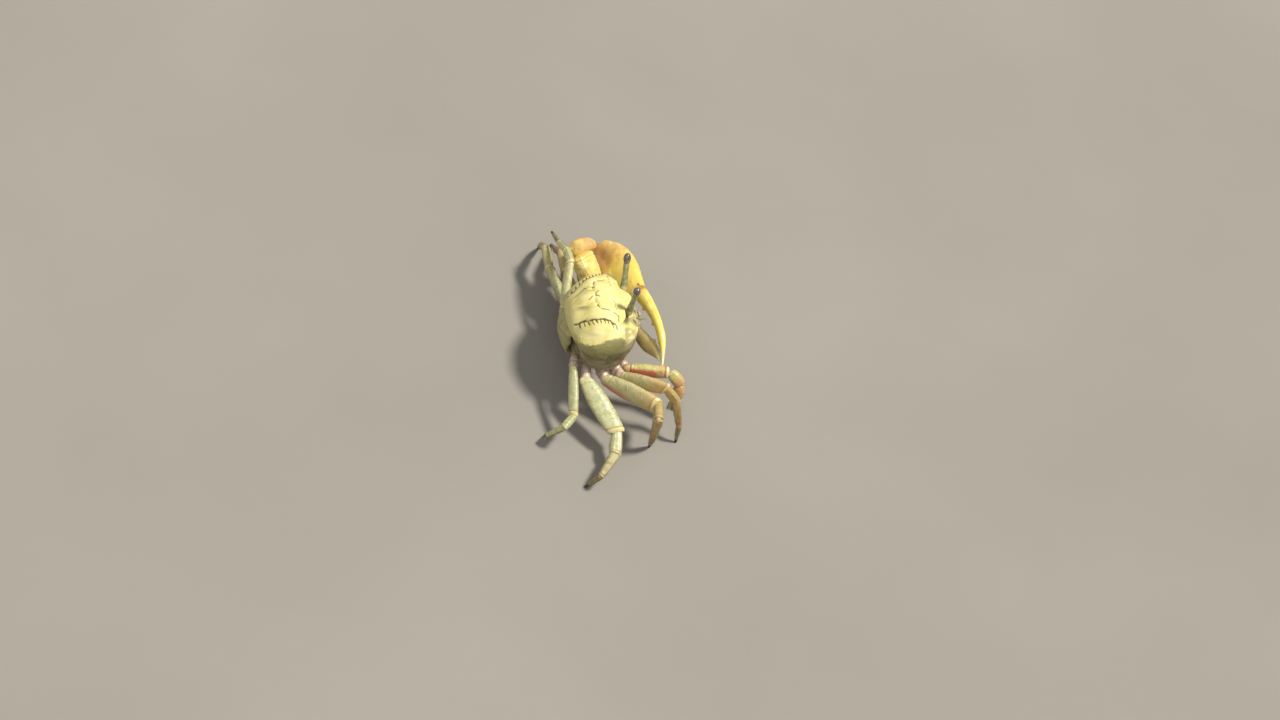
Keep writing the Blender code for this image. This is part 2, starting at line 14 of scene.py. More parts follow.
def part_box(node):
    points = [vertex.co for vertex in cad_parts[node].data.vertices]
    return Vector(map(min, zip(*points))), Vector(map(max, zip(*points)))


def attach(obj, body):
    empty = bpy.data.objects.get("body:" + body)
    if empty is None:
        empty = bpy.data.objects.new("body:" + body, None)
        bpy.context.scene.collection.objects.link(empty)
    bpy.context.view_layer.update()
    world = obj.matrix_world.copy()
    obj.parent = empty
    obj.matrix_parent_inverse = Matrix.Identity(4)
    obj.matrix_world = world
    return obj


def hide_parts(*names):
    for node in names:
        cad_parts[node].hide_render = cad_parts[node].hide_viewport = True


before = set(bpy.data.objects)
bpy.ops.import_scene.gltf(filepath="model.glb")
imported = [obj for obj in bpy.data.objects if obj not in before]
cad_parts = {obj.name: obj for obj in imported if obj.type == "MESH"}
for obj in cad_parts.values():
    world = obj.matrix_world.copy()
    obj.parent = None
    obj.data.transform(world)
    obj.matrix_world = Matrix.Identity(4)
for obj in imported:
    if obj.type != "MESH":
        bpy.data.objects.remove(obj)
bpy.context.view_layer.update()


# ---- Carapace ----
# The one-piece shell over the back, the side walls and the face, of hard chalky horn. Grooves part the
# back into regions, a beaded edge runs round it, and two long troughs hold the eyestalks when they fold.

# Metres in one unit, and how many units the crab's frame stands above the floor.
U = 0.00024
STANDING = 100.0
# The crab faces the room's -Y and leans over towards its left, the side of the large claw.
ROLL = math.radians(9.0)
CRAB_AXES = np.array([
    [0.0, math.cos(ROLL), math.sin(ROLL)],
    [-1.0, 0.0, 0.0],
    [0.0, -math.sin(ROLL), math.cos(ROLL)],
])
ROOM_UP = np.array([0.0, 0.0, 1.0])

MIDDLE_X = -17.0
HALF_BREADTH = 51.0
CROWN = np.array([MIDDLE_X, 0.0, 14.5])
UNDERSIDE = -44.0

EYE_FOOT = np.array([8.7, 17.6, 4.5])
EYE_RUNS = {"left": np.array([0.07, 0.44, 0.9]), "right": np.array([0.05, -0.19, 0.98])}
STALK_LENGTH = 25.0
EYE_LENGTH = 10.5
JOINT_GAP = 0.0003 / U
SIDES = (("left", 1.0), ("right", -1.0))


def unit(v):
    v = np.asarray(v, float)
    return v / np.linalg.norm(v, axis=-1, keepdims=True)


def eye_line(side):
    """Foot, direction, and middle of the eye itself, for one eyestalk."""
    foot, run = EYE_FOOT * (1.0, dict(SIDES)[side], 1.0), unit(EYE_RUNS[side])
    return foot, run, foot + run * (STALK_LENGTH + JOINT_GAP + 0.5 * EYE_LENGTH)


def turned(points):
    return np.asarray(points, float) @ CRAB_AXES.T


eye_low, eye_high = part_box("right_eye")
CRAB_PLACE = np.array(0.5 * (eye_low + eye_high)) - turned(eye_line("right")[2]) * U


def room(points):
    """Points of the crab's frame, in metres in the room."""
    return turned(points) * U + CRAB_PLACE


def speckle(points, size, seed=0):
    """Smooth random heights from -1 to 1 that change over a stated size."""
    spread = np.asarray(points, float) / size
    cell = np.floor(spread).astype(np.int64)
    part = spread - cell
    part = part * part * (3.0 - 2.0 * part)
    total = np.zeros(spread.shape[:-1])
    for corner in range(8):
        step = np.array([(corner >> k) & 1 for k in range(3)])
        at = cell + step
        key = (at[..., 0] * 73856093) ^ (at[..., 1] * 19349663) ^ (at[..., 2] * 83492791) ^ (seed * 7919)
        key = ((key ^ (key >> 13)) * 1274126177) & 0xFFFFFFFF
        key = ((key ^ (key >> 15)) * 2246822519) & 0xFFFFFFFF
        weight = np.prod(np.where(step == 1, part, 1.0 - part), axis=-1)
        total += weight * ((key >> 8) & 0xFFFF) / 0xFFFF
    return 2.0 * total - 1.0


def ease(low, high, value):
    """0 below the first value and 1 past the second, with a smooth rise between."""
    t = within((value - low) / (high - low))
    return t * t * (3.0 - 2.0 * t)


def within(value):
    return np.clip(value, 0.0, 1.0)


def bump(value, at, width):
    """1 at a stated value and 0 away from it."""
    return np.exp(-((value - at) / width) ** 2)


def ripple(place, pitch):
    """A wave from -1 to 1 that repeats at a stated pitch."""
    return np.cos(2.0 * math.pi * place / pitch)


def granules(points, size, seed, least):
    """Round grains of horn: only the tops of the random heights, above a stated height."""
    return within(speckle(points, size, seed) - least)


def around(count):
    """Evenly spaced turns round a ring, from 0."""
    return np.linspace(0.0, 2.0 * math.pi, count, endpoint=False)


def facing(grid):
    """Unit normals of a grid of points whose columns run round and rows run along."""
    normal = np.cross(np.gradient(grid, axis=0), np.roll(grid, -1, 1) - np.roll(grid, 1, 1))
    return normal / np.maximum(np.linalg.norm(normal, axis=-1, keepdims=True), 1e-9)


def raised(grid, height, inside=None):
    """The grid with each point lifted along its normal, away from the point inside it."""
    normal = facing(grid)
    centre = grid.mean(axis=(0, 1)) if inside is None else inside
    sign = np.sign(np.sum((grid - centre) * normal, axis=-1).sum())
    return grid + normal * sign * height[..., None]


def make_mesh(name, points, quads, triangles, finish, values):
    """One mesh object from arrays of points and faces, with named values at its points."""
    mesh = bpy.data.meshes.new(name)
    corners = np.concatenate([quads.ravel(), triangles.ravel()]).astype(np.int32)
    starts = np.concatenate([
        np.arange(len(quads)) * 4,
        len(quads) * 4 + np.arange(len(triangles)) * 3,
    ]).astype(np.int32)
    mesh.vertices.add(len(points))
    mesh.vertices.foreach_set("co", points.astype(np.float32).ravel())
    mesh.loops.add(len(corners))
    mesh.loops.foreach_set("vertex_index", corners)
    mesh.polygons.add(len(starts))
    mesh.polygons.foreach_set("loop_start", starts)
    for key, value in values.items():
        layer = mesh.attributes.new(key, "FLOAT", "POINT")
        layer.data.foreach_set("value", np.asarray(value, np.float32).ravel())
    mesh.update(calc_edges=True)
    mesh.validate()
    mesh.shade_smooth()
    mesh.materials.append(finish)
    piece = bpy.data.objects.new(name, mesh)
    bpy.context.scene.collection.objects.link(piece)
    return piece


def skin(name, grids, finish, values, place):
    """One object of closed shells. Each grid is rows of rings; both of its ends are closed to a point."""
    grids = [grids] if isinstance(grids, np.ndarray) else grids
    values = [values] if isinstance(values, dict) else values
    points, quads, triangles, full, count = [], [], [], {}, 0
    for grid, value in zip(grids, values):
        rows, cols = grid.shape[:2]
        spots = place(np.concatenate([grid.reshape(-1, 3), grid[0].mean(0)[None], grid[-1].mean(0)[None]]))
        step = np.arange(rows - 1)[:, None] * cols
        j = np.arange(cols)
        k = (j + 1) % cols
        four = np.stack([step + j, step + k, step + cols + k, step + cols + j], -1).reshape(-1, 4)
        first, last, base = rows * cols, rows * cols + 1, (rows - 1) * cols
        three = np.concatenate([
            np.stack([k, j, np.full(cols, first)], -1),
            np.stack([base + j, base + k, np.full(cols, last)], -1),
        ])
        a, b, c = (spots[four[:, n]] for n in (0, 1, 2))
        if np.einsum("ij,ij->i", np.cross(b - a, c - a), a - spots.mean(0)).sum() < 0.0:
            four, three = four[:, ::-1], three[:, ::-1]
        points.append(spots)
        quads.append(four + count)
        triangles.append(three + count)
        count += len(spots)
        for key, amount in value.items():
            amount = np.broadcast_to(amount, (rows, cols))
            ends = [amount[0].mean(), amount[-1].mean()]
            full.setdefault(key, []).append(np.concatenate([amount.ravel(), ends]))
    full = {key: np.concatenate(parts) for key, parts in full.items()}
    parts = (np.concatenate(part) for part in (points, quads, triangles))
    return make_mesh(name, *parts, finish, full)


def fitted(name, grids, finish, values, node=None, place=room):
    """One piece in its place: its skin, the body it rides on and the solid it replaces."""
    piece = skin(name, grids, finish, values, place)
    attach(piece, "root")
    if node:
        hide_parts(node)


def add_node(tree, kind, inputs=None, **settings):
    made = tree.nodes.new(kind)
    for key, value in settings.items():
        setattr(made, key, value)
    for key, value in (inputs or {}).items():
        if isinstance(value, bpy.types.NodeSocket):
            tree.links.new(value, made.inputs[key])
        else:
            made.inputs[key].default_value = value
    return made


def tint(colour):
    return (*colour, 1.0)


def shell_finish(
    name, colour, dark, pale, layers=(), mottle=900.0, grain=5200.0, grain_height=1.0,
    pits=0.0, pit_scale=2600.0, rough=(0.32, 0.55), coat=0.0,
):
    """Hard shell: mottled between a dark, a middle and a pale shade, then coloured layer by layer where a
    named value on the mesh is high. Fine grain and round granules raise its surface."""
    finish = bpy.data.materials.new(name)
    finish.use_nodes = True
    tree = finish.node_tree
    shader = tree.nodes["Principled BSDF"]
    place = add_node(tree, "ShaderNodeTexCoord").outputs["Object"]
    cloud = add_node(
        tree, "ShaderNodeTexNoise", {"Vector": place, "Scale": mottle, "Detail": 5.0, "Roughness": 0.62}
    ).outputs["Fac"]
    fine = add_node(
        tree, "ShaderNodeTexNoise", {"Vector": place, "Scale": grain, "Detail": 3.0, "Roughness": 0.6}
    ).outputs["Fac"]
    ramp = add_node(tree, "ShaderNodeValToRGB", {"Fac": cloud})
    stops = ramp.color_ramp.elements
    stops[0].position, stops[0].color = 0.32, tint(dark)
    stops[1].position, stops[1].color = 0.68, tint(pale)
    stops.new(0.5).color = tint(colour)
    paint = ramp.outputs["Color"]
    for value_name, layer_colour, strength, ragged in layers:
        value = add_node(tree, "ShaderNodeAttribute", attribute_name=value_name).outputs["Fac"]
        noise = add_node(tree, "ShaderNodeMath", {0: cloud, 1: 0.5}, operation="SUBTRACT").outputs[0]
        pushed = add_node(
            tree, "ShaderNodeMath", {0: noise, 1: ragged, 2: value}, operation="MULTIPLY_ADD"
        ).outputs[0]
        amount = add_node(
            tree, "ShaderNodeMapRange", {0: pushed, 1: 0.08, 2: 0.92, 3: 0.0, 4: strength},
            interpolation_type="SMOOTHSTEP",
        ).outputs[0]
        paint = painted_over(tree, amount, paint, layer_colour)
    tree.links.new(paint, shader.inputs["Base Color"])
    rough_value = add_node(
        tree, "ShaderNodeMapRange", {0: fine, 1: 0.3, 2: 0.7, 3: rough[0], 4: rough[1]}
    ).outputs[0]
    tree.links.new(rough_value, shader.inputs["Roughness"])
    bump_height = {"Height": fine, "Distance": 0.00003 * grain_height, "Strength": 0.6}
    surface = add_node(tree, "ShaderNodeBump", bump_height).outputs["Normal"]
    if pits:
        cells = add_node(
            tree, "ShaderNodeTexVoronoi", {"Vector": place, "Scale": pit_scale}, feature="SMOOTH_F1"
        ).outputs["Distance"]
        surface = add_node(
            tree, "ShaderNodeBump",
            {"Height": cells, "Distance": 0.00006 * abs(pits), "Strength": 0.7, "Normal": surface},
            invert=pits > 0.0,
        ).outputs["Normal"]
    tree.links.new(surface, shader.inputs["Normal"])
    shader.inputs["Coat Weight"].default_value = coat
    shader.inputs["Coat Roughness"].default_value = 0.2
    shader.inputs["Specular IOR Level"].default_value = 0.45
    return finish


def painted_over(tree, amount, paint, colour):
    """Paint laid over with one more colour by an amount from 0 to 1."""
    mix = tree.nodes.new("ShaderNodeMix")
    mix.data_type = "RGBA"
    tree.links.new(amount, mix.inputs["Factor"])
    tree.links.new(paint, mix.inputs[6])
    mix.inputs[7].default_value = tint(colour)
    return mix.outputs[2]


# The outline of the back, on the left: the front edge from the middle to the corner, the flank, the rear.
CORNER_ANGLES = np.radians([0.0, 71.0, 139.0, 180.0])
HALF_REAR = 25.0
HALF_COLUMNS = 250
BEAD_PITCH = 1.9


def front_margin(side):
    """Forward reach and height of the front edge of the back, at a distance from the middle."""
    lobe = 9.5 * np.exp(-((side / 11.0) ** 4))
    notch = 6.5 * bump(side, 41.0, 6.5)
    forward = 3.0 + lobe - notch - 2.0 * (side / HALF_BREADTH) ** 8
    height = 9.3 - 1.7 * bump(side, 0.0, 9.0) - 9.3 * (side / HALF_BREADTH) ** 3.5
    return np.stack([forward, side, height], -1)


def flank_margin(t):
    side = HALF_BREADTH - (HALF_BREADTH - HALF_REAR) * t**2.6 + 5.0 * t * (1.0 - t)
    return np.stack([-46.0 * t, side, -13.0 * t**0.9], -1)


def rear_margin(side):
    bulge = side / HALF_REAR
    return np.stack([-49.5 + 3.5 * bulge**3, side, -8.5 - 4.5 * bulge**2], -1)


def girth(angle, front, rear, half_breadth, power):
    """A rounded outline round the middle of the body, at each angle from the front."""
    c, s = np.cos(angle), np.sin(angle)
    reach = np.where(c > 0, front, rear)
    radius = ((np.abs(c) / reach) ** power + (np.abs(s) / half_breadth) ** power) ** (-1.0 / power)
    return MIDDLE_X + radius * c, radius * s


def both_sides(left, mirror=1.0):
    return np.concatenate([left, (left * mirror)[-2:0:-1]])


front = front_margin(np.linspace(0.0, HALF_BREADTH, 240))
flank = flank_margin(np.linspace(0.0, 1.0, 200)[1:])
rear = rear_margin(np.linspace(HALF_REAR, 0.0, 90)[1:])
edge = np.concatenate([front, flank, rear])
run_length = np.concatenate([[0.0], np.cumsum(np.linalg.norm(np.diff(edge, axis=0), axis=1))])
corner_at, rear_corner_at = run_length[len(front) - 1], run_length[len(front) + len(flank) - 1]
along_edge = np.linspace(0.0, run_length[-1], HALF_COLUMNS + 1)
left_edge = np.stack([np.interp(along_edge, run_length, edge[:, k]) for k in range(3)], -1)
left_angle = np.interp(along_edge, [0.0, corner_at, rear_corner_at, run_length[-1]], CORNER_ANGLES)
beyond_ends = np.concatenate([-left_angle[10:0:-1], left_angle, 2.0 * math.pi - left_angle[-2:-12:-1]])
left_angle = np.convolve(beyond_ends, np.ones(21) / 21.0, "valid")

margin = both_sides(left_edge, (1.0, -1.0, 1.0))
angle = np.concatenate([left_angle, -left_angle[-2:0:-1]])
turned_by = np.abs(angle)
along = both_sides(along_edge)

girdle = np.stack([*girth(angle, 39.5, 33.0, 54.0, 2.35), -15.5 + 4.5 * np.cos(angle)], -1)


def hem_height(cosine):
    """Height of the shell's lower edge, which rises in front and more behind."""
    return -47.0 + np.where(cosine > 0, 2.0, 17.0) * cosine**2


hem = np.stack([*girth(angle, 31.0, 24.0, 45.0, 2.3), hem_height(np.cos(angle))], -1)

# The eyes' troughs and the lobe of the brow, each as a share from 0 to 1 round the front edge.
side_of = np.abs(margin[:, 1])
frontal = (margin[:, 0] > -8.0) & (turned_by < 1.4)
socket = np.where(frontal, within(1.0 - ((side_of - 31.0) / 18.0) ** 4), 0.0)
lobe_at = np.where(frontal, np.exp(-((side_of / 10.5) ** 4)), 0.0)

# The shell is one grid: down the back to its edge, the face or the flank, the side wall and the underside.
back_share = 1.0 - (1.0 - np.linspace(0.02, 1.0, 150)) ** 1.15
face_share = np.linspace(0.0, 1.0, 76)[1:]
wall_share = np.linspace(0.0, 1.0, 66)[1:]
under_share = np.linspace(1.0, 0.25, 12)[1:]

share = back_share[:, None]
inner_ring = np.stack([*girth(angle, 21.0, 31.0, 50.0, 2.2), margin[:, 2]], -1)
back = CROWN + (inner_ring + (margin - inner_ring) * share[..., None] ** 3 - CROWN) * share[..., None]
back[..., 2] = margin[:, 2] + (CROWN[2] - margin[:, 2]) * (1.0 - share**2.5)
back[..., 2] += 2.5 * bump(np.abs(back[..., 1]), 36.0, 11.0) * bump(back[..., 0], -22.0, 15.0)

share = face_share[:, None]
face = margin[None] + (girdle - margin)[None] * share[..., None]
trough = np.sin(math.pi * within(share / 0.88) ** 0.75)
face[..., 0] -= 8.5 * socket * trough
face[..., 2] += 1.5 * socket * np.sin(math.pi * within(share / 0.4))
face[..., 0] -= 5.0 * lobe_at * np.sin(math.pi * within((share - 0.28) / 0.6))
face[..., 0] += 1.5 * lobe_at * np.sin(math.pi * within(share / 0.34))

share = wall_share[:, None]
wall = girdle[None] + (hem - girdle)[None] * (share**1.8)[..., None]
wall[..., 2] = girdle[:, 2] + (hem[:, 2] - girdle[:, 2]) * share

share = under_share[:, None]
under_middle = np.array([MIDDLE_X, 0.0, UNDERSIDE])
under = under_middle + (hem - under_middle)[None] * share[..., None]
under[..., 2] = np.maximum(hem[:, 2] + 1.6 * ease(1.0, 0.8, share), UNDERSIDE)
shell_grid = np.concatenate([back, face, wall, under])


def softened(grid, rows):
    """The grid averaged along its columns over a stated number of rows to each side."""
    offsets = np.arange(-3 * rows, 3 * rows + 1)
    weights = np.exp(-0.5 * (offsets / rows) ** 2)
    padded = np.pad(grid, ((3 * rows, 3 * rows), (0, 0), (0, 0)), "edge")
    return sum(w * padded[k:k + len(grid)] for k, w in enumerate(weights / weights.sum()))


# The folds are softened, far more on the flanks than on the face, but the lower edge keeps its place.
wall_top = len(back) + len(face)
above_hem = ease(wall_top + len(wall) - 4.0, wall_top + 30.0, np.arange(len(shell_grid)))[:, None, None]
on_flank = ease(0.95, 1.3, turned_by)[None, :, None]
for rows, where in ((23, on_flank), (3, 1.0 - on_flank)):
    shell_grid = shell_grid + (softened(shell_grid, rows) - shell_grid) * where * above_hem

# How far down the shell each row is: -1 at the crown, 0 at the back's edge, 1 at the girdle, 2 at the hem.
down = np.concatenate([back_share - 1.0, face_share, 1.0 + wall_share, 2.0 + (1.0 - under_share)])[:, None]
down = np.broadcast_to(down, shell_grid.shape[:2])
steps = np.arange(-16, 17)
weights = np.exp(-0.5 * (steps / 6.0) ** 2)
weights /= weights.sum()
blended = sum(w * np.roll(shell_grid, k, axis=1) for k, w in zip(steps, weights))
shell_grid = shell_grid + (blended - shell_grid) * ease(-0.03, -0.3, down)[..., None]
X, Y = shell_grid[..., 0], shell_grid[..., 1]
A = np.abs(Y)
on_back = down <= 0.0
back_relief = ease(0.02, -0.07, down)


def near(x, y, line, width):
    """1 on a line of points on a surface and 0 away from it."""
    best = np.full(x.shape, 1e9)
    for (x0, y0), (x1, y1) in zip(line, line[1:]):
        dx, dy = x1 - x0, y1 - y0
        t = within(((x - x0) * dx + (y - y0) * dy) / (dx * dx + dy * dy))
        best = np.minimum(best, (x - x0 - t * dx) ** 2 + (y - y0 - t * dy) ** 2)
    return np.exp(-best / width**2)


# Grooves of the back, as distances forward and to the side, and its low swellings: how high, where, how wide.
BRANCH_GROOVE = [
    (-7.0, 42.5), (-9.0, 39.5), (-14.0, 35.0), (-20.0, 32.5), (-27.0, 31.0), (-33.0, 28.2), (-39.0, 24.2),
    (-46.0, 21.0),
]
STOMACH_GROOVE = [(-5.5, 34.5), (-4.6, 28.5), (-12.0, 23.5), (-22.0, 20.5), (-24.5, 14.5)]
HEART_GROOVE = [(-24.5, 14.5), (-25.5, 8.0), (-23.5, 0.0)]
HEART_SIDE = [(-25.0, 8.5), (-31.0, 9.5), (-38.0, 7.0), (-43.0, 3.5)]
BROW_GROOVE = [(8.0, 0.0), (2.0, 0.0), (-6.0, 0.0)]
SWELLINGS = (
    (0.8, -9.0, 0.0, 10.0, 17.0), (0.9, -33.0, 0.0, 8.0, 9.0), (-1.1, -37.0, 13.0, 6.0, 5.0),
    (0.7, -30.0, 38.0, 12.0, 8.0), (0.6, -9.0, 40.0, 8.0, 7.0),
)

wobble = 0.9 * speckle(shell_grid, 3.1, 4)
grooves = (
    0.9 * near(X, A + wobble, BRANCH_GROOVE, 1.5) + 0.75 * near(X, A, STOMACH_GROOVE, 1.7)
    + 0.8 * near(X, A, HEART_GROOVE, 1.9) + 0.45 * near(X, A, HEART_SIDE, 1.9)
    + 0.4 * near(X, A, BROW_GROOVE, 1.6)
) * back_relief * ease(42.0, 34.0, A)
regions = back_relief * sum(
    height * bump(X, forward, long) * bump(A, side, wide) for height, forward, side, long, wide in SWELLINGS
)
edge_distance = np.where(on_back, -down * np.linalg.norm(margin - CROWN, axis=1), 9.0)
edge_distance = np.where((down > 0.0) & (down < 1.0), down * 26.0, edge_distance)
beaded = ease(1.3, 0.9, turned_by) * ease(44.0, 34.0, side_of)
rim_bead = 0.5 * bump(edge_distance, 0.0, 0.95) * (0.62 + 0.38 * ripple(along, BEAD_PITCH)) * beaded
rim_groove = 0.3 * bump(edge_distance, 2.4, 1.0) * on_back * beaded
lower_beads = 0.5 + 0.5 * np.cos(math.pi * along / BEAD_PITCH) ** 2
lower_ridge = bump(down, 0.93, 0.03) * ease(0.0, 0.3, socket) * lower_beads
corner_tooth = 0.35 * bump(along, corner_at, 2.2) * bump(edge_distance, 0.0, 3.0)
wall_line = bump(down - 0.3 * np.sin(turned_by) - 0.05 * wobble, 1.22, 0.014)
wall_line = wall_line * ease(0.5, 0.8, turned_by) * ease(2.6, 2.0, turned_by)
wall_granules = granules(shell_grid, 1.5, 9, 0.25) * ease(0.02, 0.3, down) * (down < 2.05)
back_granules = granules(shell_grid, 1.3, 12, 0.45) * back_relief
relief = (
    regions - grooves + rim_bead - rim_groove + 0.8 * lower_ridge + corner_tooth - 0.5 * wall_line
    + 0.7 * wall_granules * (1.0 - socket * (down < 0.9)) + 0.25 * back_granules
    + 0.3 * speckle(shell_grid, 9.0, 2)
)
relief[down > 2.0] = 0.0
shell_grid = raised(shell_grid, relief, inside=np.array([MIDDLE_X, 0.0, -18.0]))

# Dark marks in and beside the grooves: a comb of ticks on each side, short slashes and rows of dots.
TICKS = [(-9.5, 41.3), (-14.5, 36.8), (-21.0, 34.5), (-28.0, 33.1), (-35.0, 29.7), (-42.0, 26.0)]
SLASHES = (
    [(-20.0, 4.0), (-23.5, 1.0)], [(-23.0, 10.5), (-29.0, 14.0)], [(-26.5, 6.0), (-31.5, 9.0)],
    [(-20.5, -5.0), (-24.0, -1.5)], [(-27.0, -3.0), (-31.0, -6.5)], [(-30.5, 12.0), (-32.5, 15.0)],
)
DOTS = ((-6.5, 12.0), (-5.9, 15.0), (-6.9, 18.0), (-6.0, 21.0))
comb = np.sin(2.0 * math.pi * (X - 0.3 * A) / 3.1 + 1.2 * speckle(shell_grid, 4.0, 23))
ticks = near(X, A, TICKS, 2.0) * ease(0.2, 0.75, comb)
slashes = sum(near(X, Y, line, 0.65) for line in SLASHES)
dots = sum(near(X, A, [(x, a), (x - 0.4, a + 0.5)], 0.62) for x, a in DOTS)
line_break = ease(-0.55, 0.1, speckle(shell_grid, 2.2, 21))
mark = (
    1.05 * near(X, A + wobble, BRANCH_GROOVE, 0.95) * (0.45 + 0.55 * line_break)
    + 0.8 * near(X, A, STOMACH_GROOVE, 0.8) * line_break
    + 0.5 * near(X, A, HEART_GROOVE, 0.8) * line_break
    + 0.95 * ticks + 0.8 * slashes + 0.9 * dots
    + 0.55 * near(X, A, [(-40.0, 33.0), (-41.5, 34.5)], 1.0)
)
# Painted shade: a dark line just under the front edge, over the outer part of each eye trough, laid into the
# mark layer.
painted_edge_shade = 0.85 * bump(edge_distance, 0.0, 1.5) * (down > 0.0) * frontal
painted_edge_shade = painted_edge_shade * ease(18.0, 26.0, side_of) * ease(44.0, 38.0, side_of)
mark = np.maximum(within(mark * on_back), painted_edge_shade)

# The back's yellow runs down each side by an amount that changes round it, and the flanks below are green,
# darkened partly as painted shade.
YELLOW_REACH = {
    44.0: 1.0, 52.0: 0.93, 60.0: 0.8, 68.0: 0.45, 76.0: 0.0, 92.0: 0.07, 106.0: 0.5, 118.0: 0.8, 140.0: 1.0,
}
degrees_round = np.degrees(turned_by)
yellow_ends = np.interp(degrees_round, list(YELLOW_REACH), list(YELLOW_REACH.values()))
patches = 0.12 * speckle(shell_grid, 7.0, 14) + 0.1 * speckle(shell_grid, 2.2, 15)
flank_colour_and_shade = ease(-0.06, 0.2, down + patches * ease(-0.2, 0.3, down) - yellow_ends)
flank_colour_and_shade = flank_colour_and_shade * ease(38.0, 50.0, degrees_round) * (0.72 + 0.28 * ease(125.0, 100.0, degrees_round))
rearward = ease(-30.0, -52.0, X) * (0.45 + 0.4 * ease(14.0, 34.0, A))
# A wedge of shade in the hollow on each side of the heart, measured across and along its slant.
HOLLOW_FOOT, HOLLOW_RUN = (-43.0, 5.0), (0.83, 0.55)
ahead, aside = X - HOLLOW_FOOT[0], A - HOLLOW_FOOT[1]
across = HOLLOW_RUN[0] * aside - HOLLOW_RUN[1] * ahead
onward = HOLLOW_RUN[0] * ahead + HOLLOW_RUN[1] * aside
painted_hollow_shade = ease(-0.6, 1.2, across) * ease(8.0, 1.0, across) * ease(-2.0, 5.0, onward)
painted_hollow_shade = 0.7 * painted_hollow_shade * ease(20.0, 11.0, onward) * back_relief
# The flank value also takes the painted shade of the hollows beside the heart.
flank_colour_and_shade = np.maximum(flank_colour_and_shade, np.maximum(0.8 * rearward, painted_hollow_shade))
face_streaks = speckle(shell_grid * (0.6, 0.6, 1.6), 4.0, 17) * ease(0.25, 0.6, down)
face_tone = ease(1.35, 0.95, turned_by) * ease(0.42, 0.95, down + 0.5 * face_streaks)
low_tone = ease(1.3, 1.95, down + 0.3 * speckle(shell_grid, 5.0, 16))
# Painted shade in the eye troughs: dark where the eyestalks shade the trough floor near their feet, faint
# further out.
painted_trough_shade = socket * ease(0.04, 0.3, down) * ease(0.8, 0.5, down)
painted_trough_shade = painted_trough_shade * (0.12 + 0.88 * ease(33.0, 22.0, side_of))

carapace_finish = shell_finish(
    "carapace_shell", (0.78, 0.68, 0.26), (0.64, 0.56, 0.18), (0.86, 0.77, 0.36),
    layers=(
        # The flank layer: the flanks' own green, darkened partly as painted shade, and the painted shade of
        # the hollows.
        ("flank", (0.24, 0.225, 0.09), 0.92, 0.9),
        ("face", (0.36, 0.31, 0.16), 0.85, 0.7),
        ("low", (0.34, 0.27, 0.17), 0.8, 0.9),
        # The trough layer is painted shade in the eye troughs.
        ("trough", (0.07, 0.08, 0.03), 0.9, 0.2),
        # The mark layer holds the real dark marks and the painted shade under the front edge.
        ("mark", (0.07, 0.055, 0.015), 0.95, 0.25),
    ),
    mottle=420.0, grain_height=0.8, pits=0.4, rough=(0.3, 0.5), coat=0.12,
)
fitted("carapace_shell", shell_grid, carapace_finish, {
    "mark": mark, "flank": flank_colour_and_shade, "face": face_tone, "low": low_tone, "trough": painted_trough_shade,
}, "carapace")


# ---- Breastplate ----
# The underside between the legs' bases: shell plates grown together, with a seam between each pair of legs
# and a shallow bed down the middle in which the folded tail lies.

PLATE_UNDERSIDE = -54.5
SEAMS_AT = (-36.0, -25.0, -13.0, -1.5)

belly_finish = shell_finish(
    "belly_shell", (0.31, 0.29, 0.125), (0.22, 0.21, 0.085), (0.42, 0.38, 0.19),
    layers=(("seam", (0.16, 0.1, 0.06), 0.8, 0.3), ("rosy", (0.46, 0.24, 0.17), 0.6, 0.6)),
    mottle=800.0, grain_height=0.8, rough=(0.34, 0.55), coat=0.1,
)
turn = around(220)
cosine = np.cos(turn)
depth = np.concatenate([np.linspace(0.0, 0.12, 8), np.linspace(0.12, 1.0, 60)[1:]])[:, None]
plate_top = hem_height(cosine) - 2.6 + np.where(cosine > 0, 1.0, 0.0)
plate_x, plate_y = girth(turn, 28.0, 20.0 + 5.5 * depth, 24.0 + 2.0 * depth, 2.6)
spread = np.interp(depth, (0.0, 0.12, 0.7, 0.92, 1.0), (0.8, 0.96, 1.0, 0.97, 0.8))
plate = np.stack([
    MIDDLE_X + (plate_x - MIDDLE_X) * spread, plate_y * spread,
    plate_top + (PLATE_UNDERSIDE - plate_top) * depth,
], -1)
plate_middle = np.array([MIDDLE_X, 0.0, PLATE_UNDERSIDE])
closing = np.linspace(1.0, 0.03, 40)[1:, None, None]
plate = np.concatenate([plate, plate_middle + (plate[-1] - plate_middle) * closing])
plate_side = np.abs(plate[..., 1])
seams = sum(bump(plate[..., 0] - 0.12 * plate_side, at, 0.9) for at in SEAMS_AT) * ease(9.0, 13.0, plate_side)
bed = ease(13.0, 8.0, plate_side) * (plate[..., 2] < PLATE_UNDERSIDE + 1.5)
plate_relief = 0.5 * speckle(plate, 6.0, 31) - 0.9 * seams - 0.8 * bed
plate = raised(plate, plate_relief, inside=np.array([MIDDLE_X, 0.0, -48.0]))
fitted("breastplate", plate, belly_finish, {
    "seam": within(seams), "rosy": ease(16.0, 26.0, plate_side),
}, "thorax")


# ---- Tail ----
# A male's tail: a narrow row of shell rings joined by soft skin. It closes the back of the body below
# the carapace's rear edge, then folds forward under the breastplate to a rounded end piece.

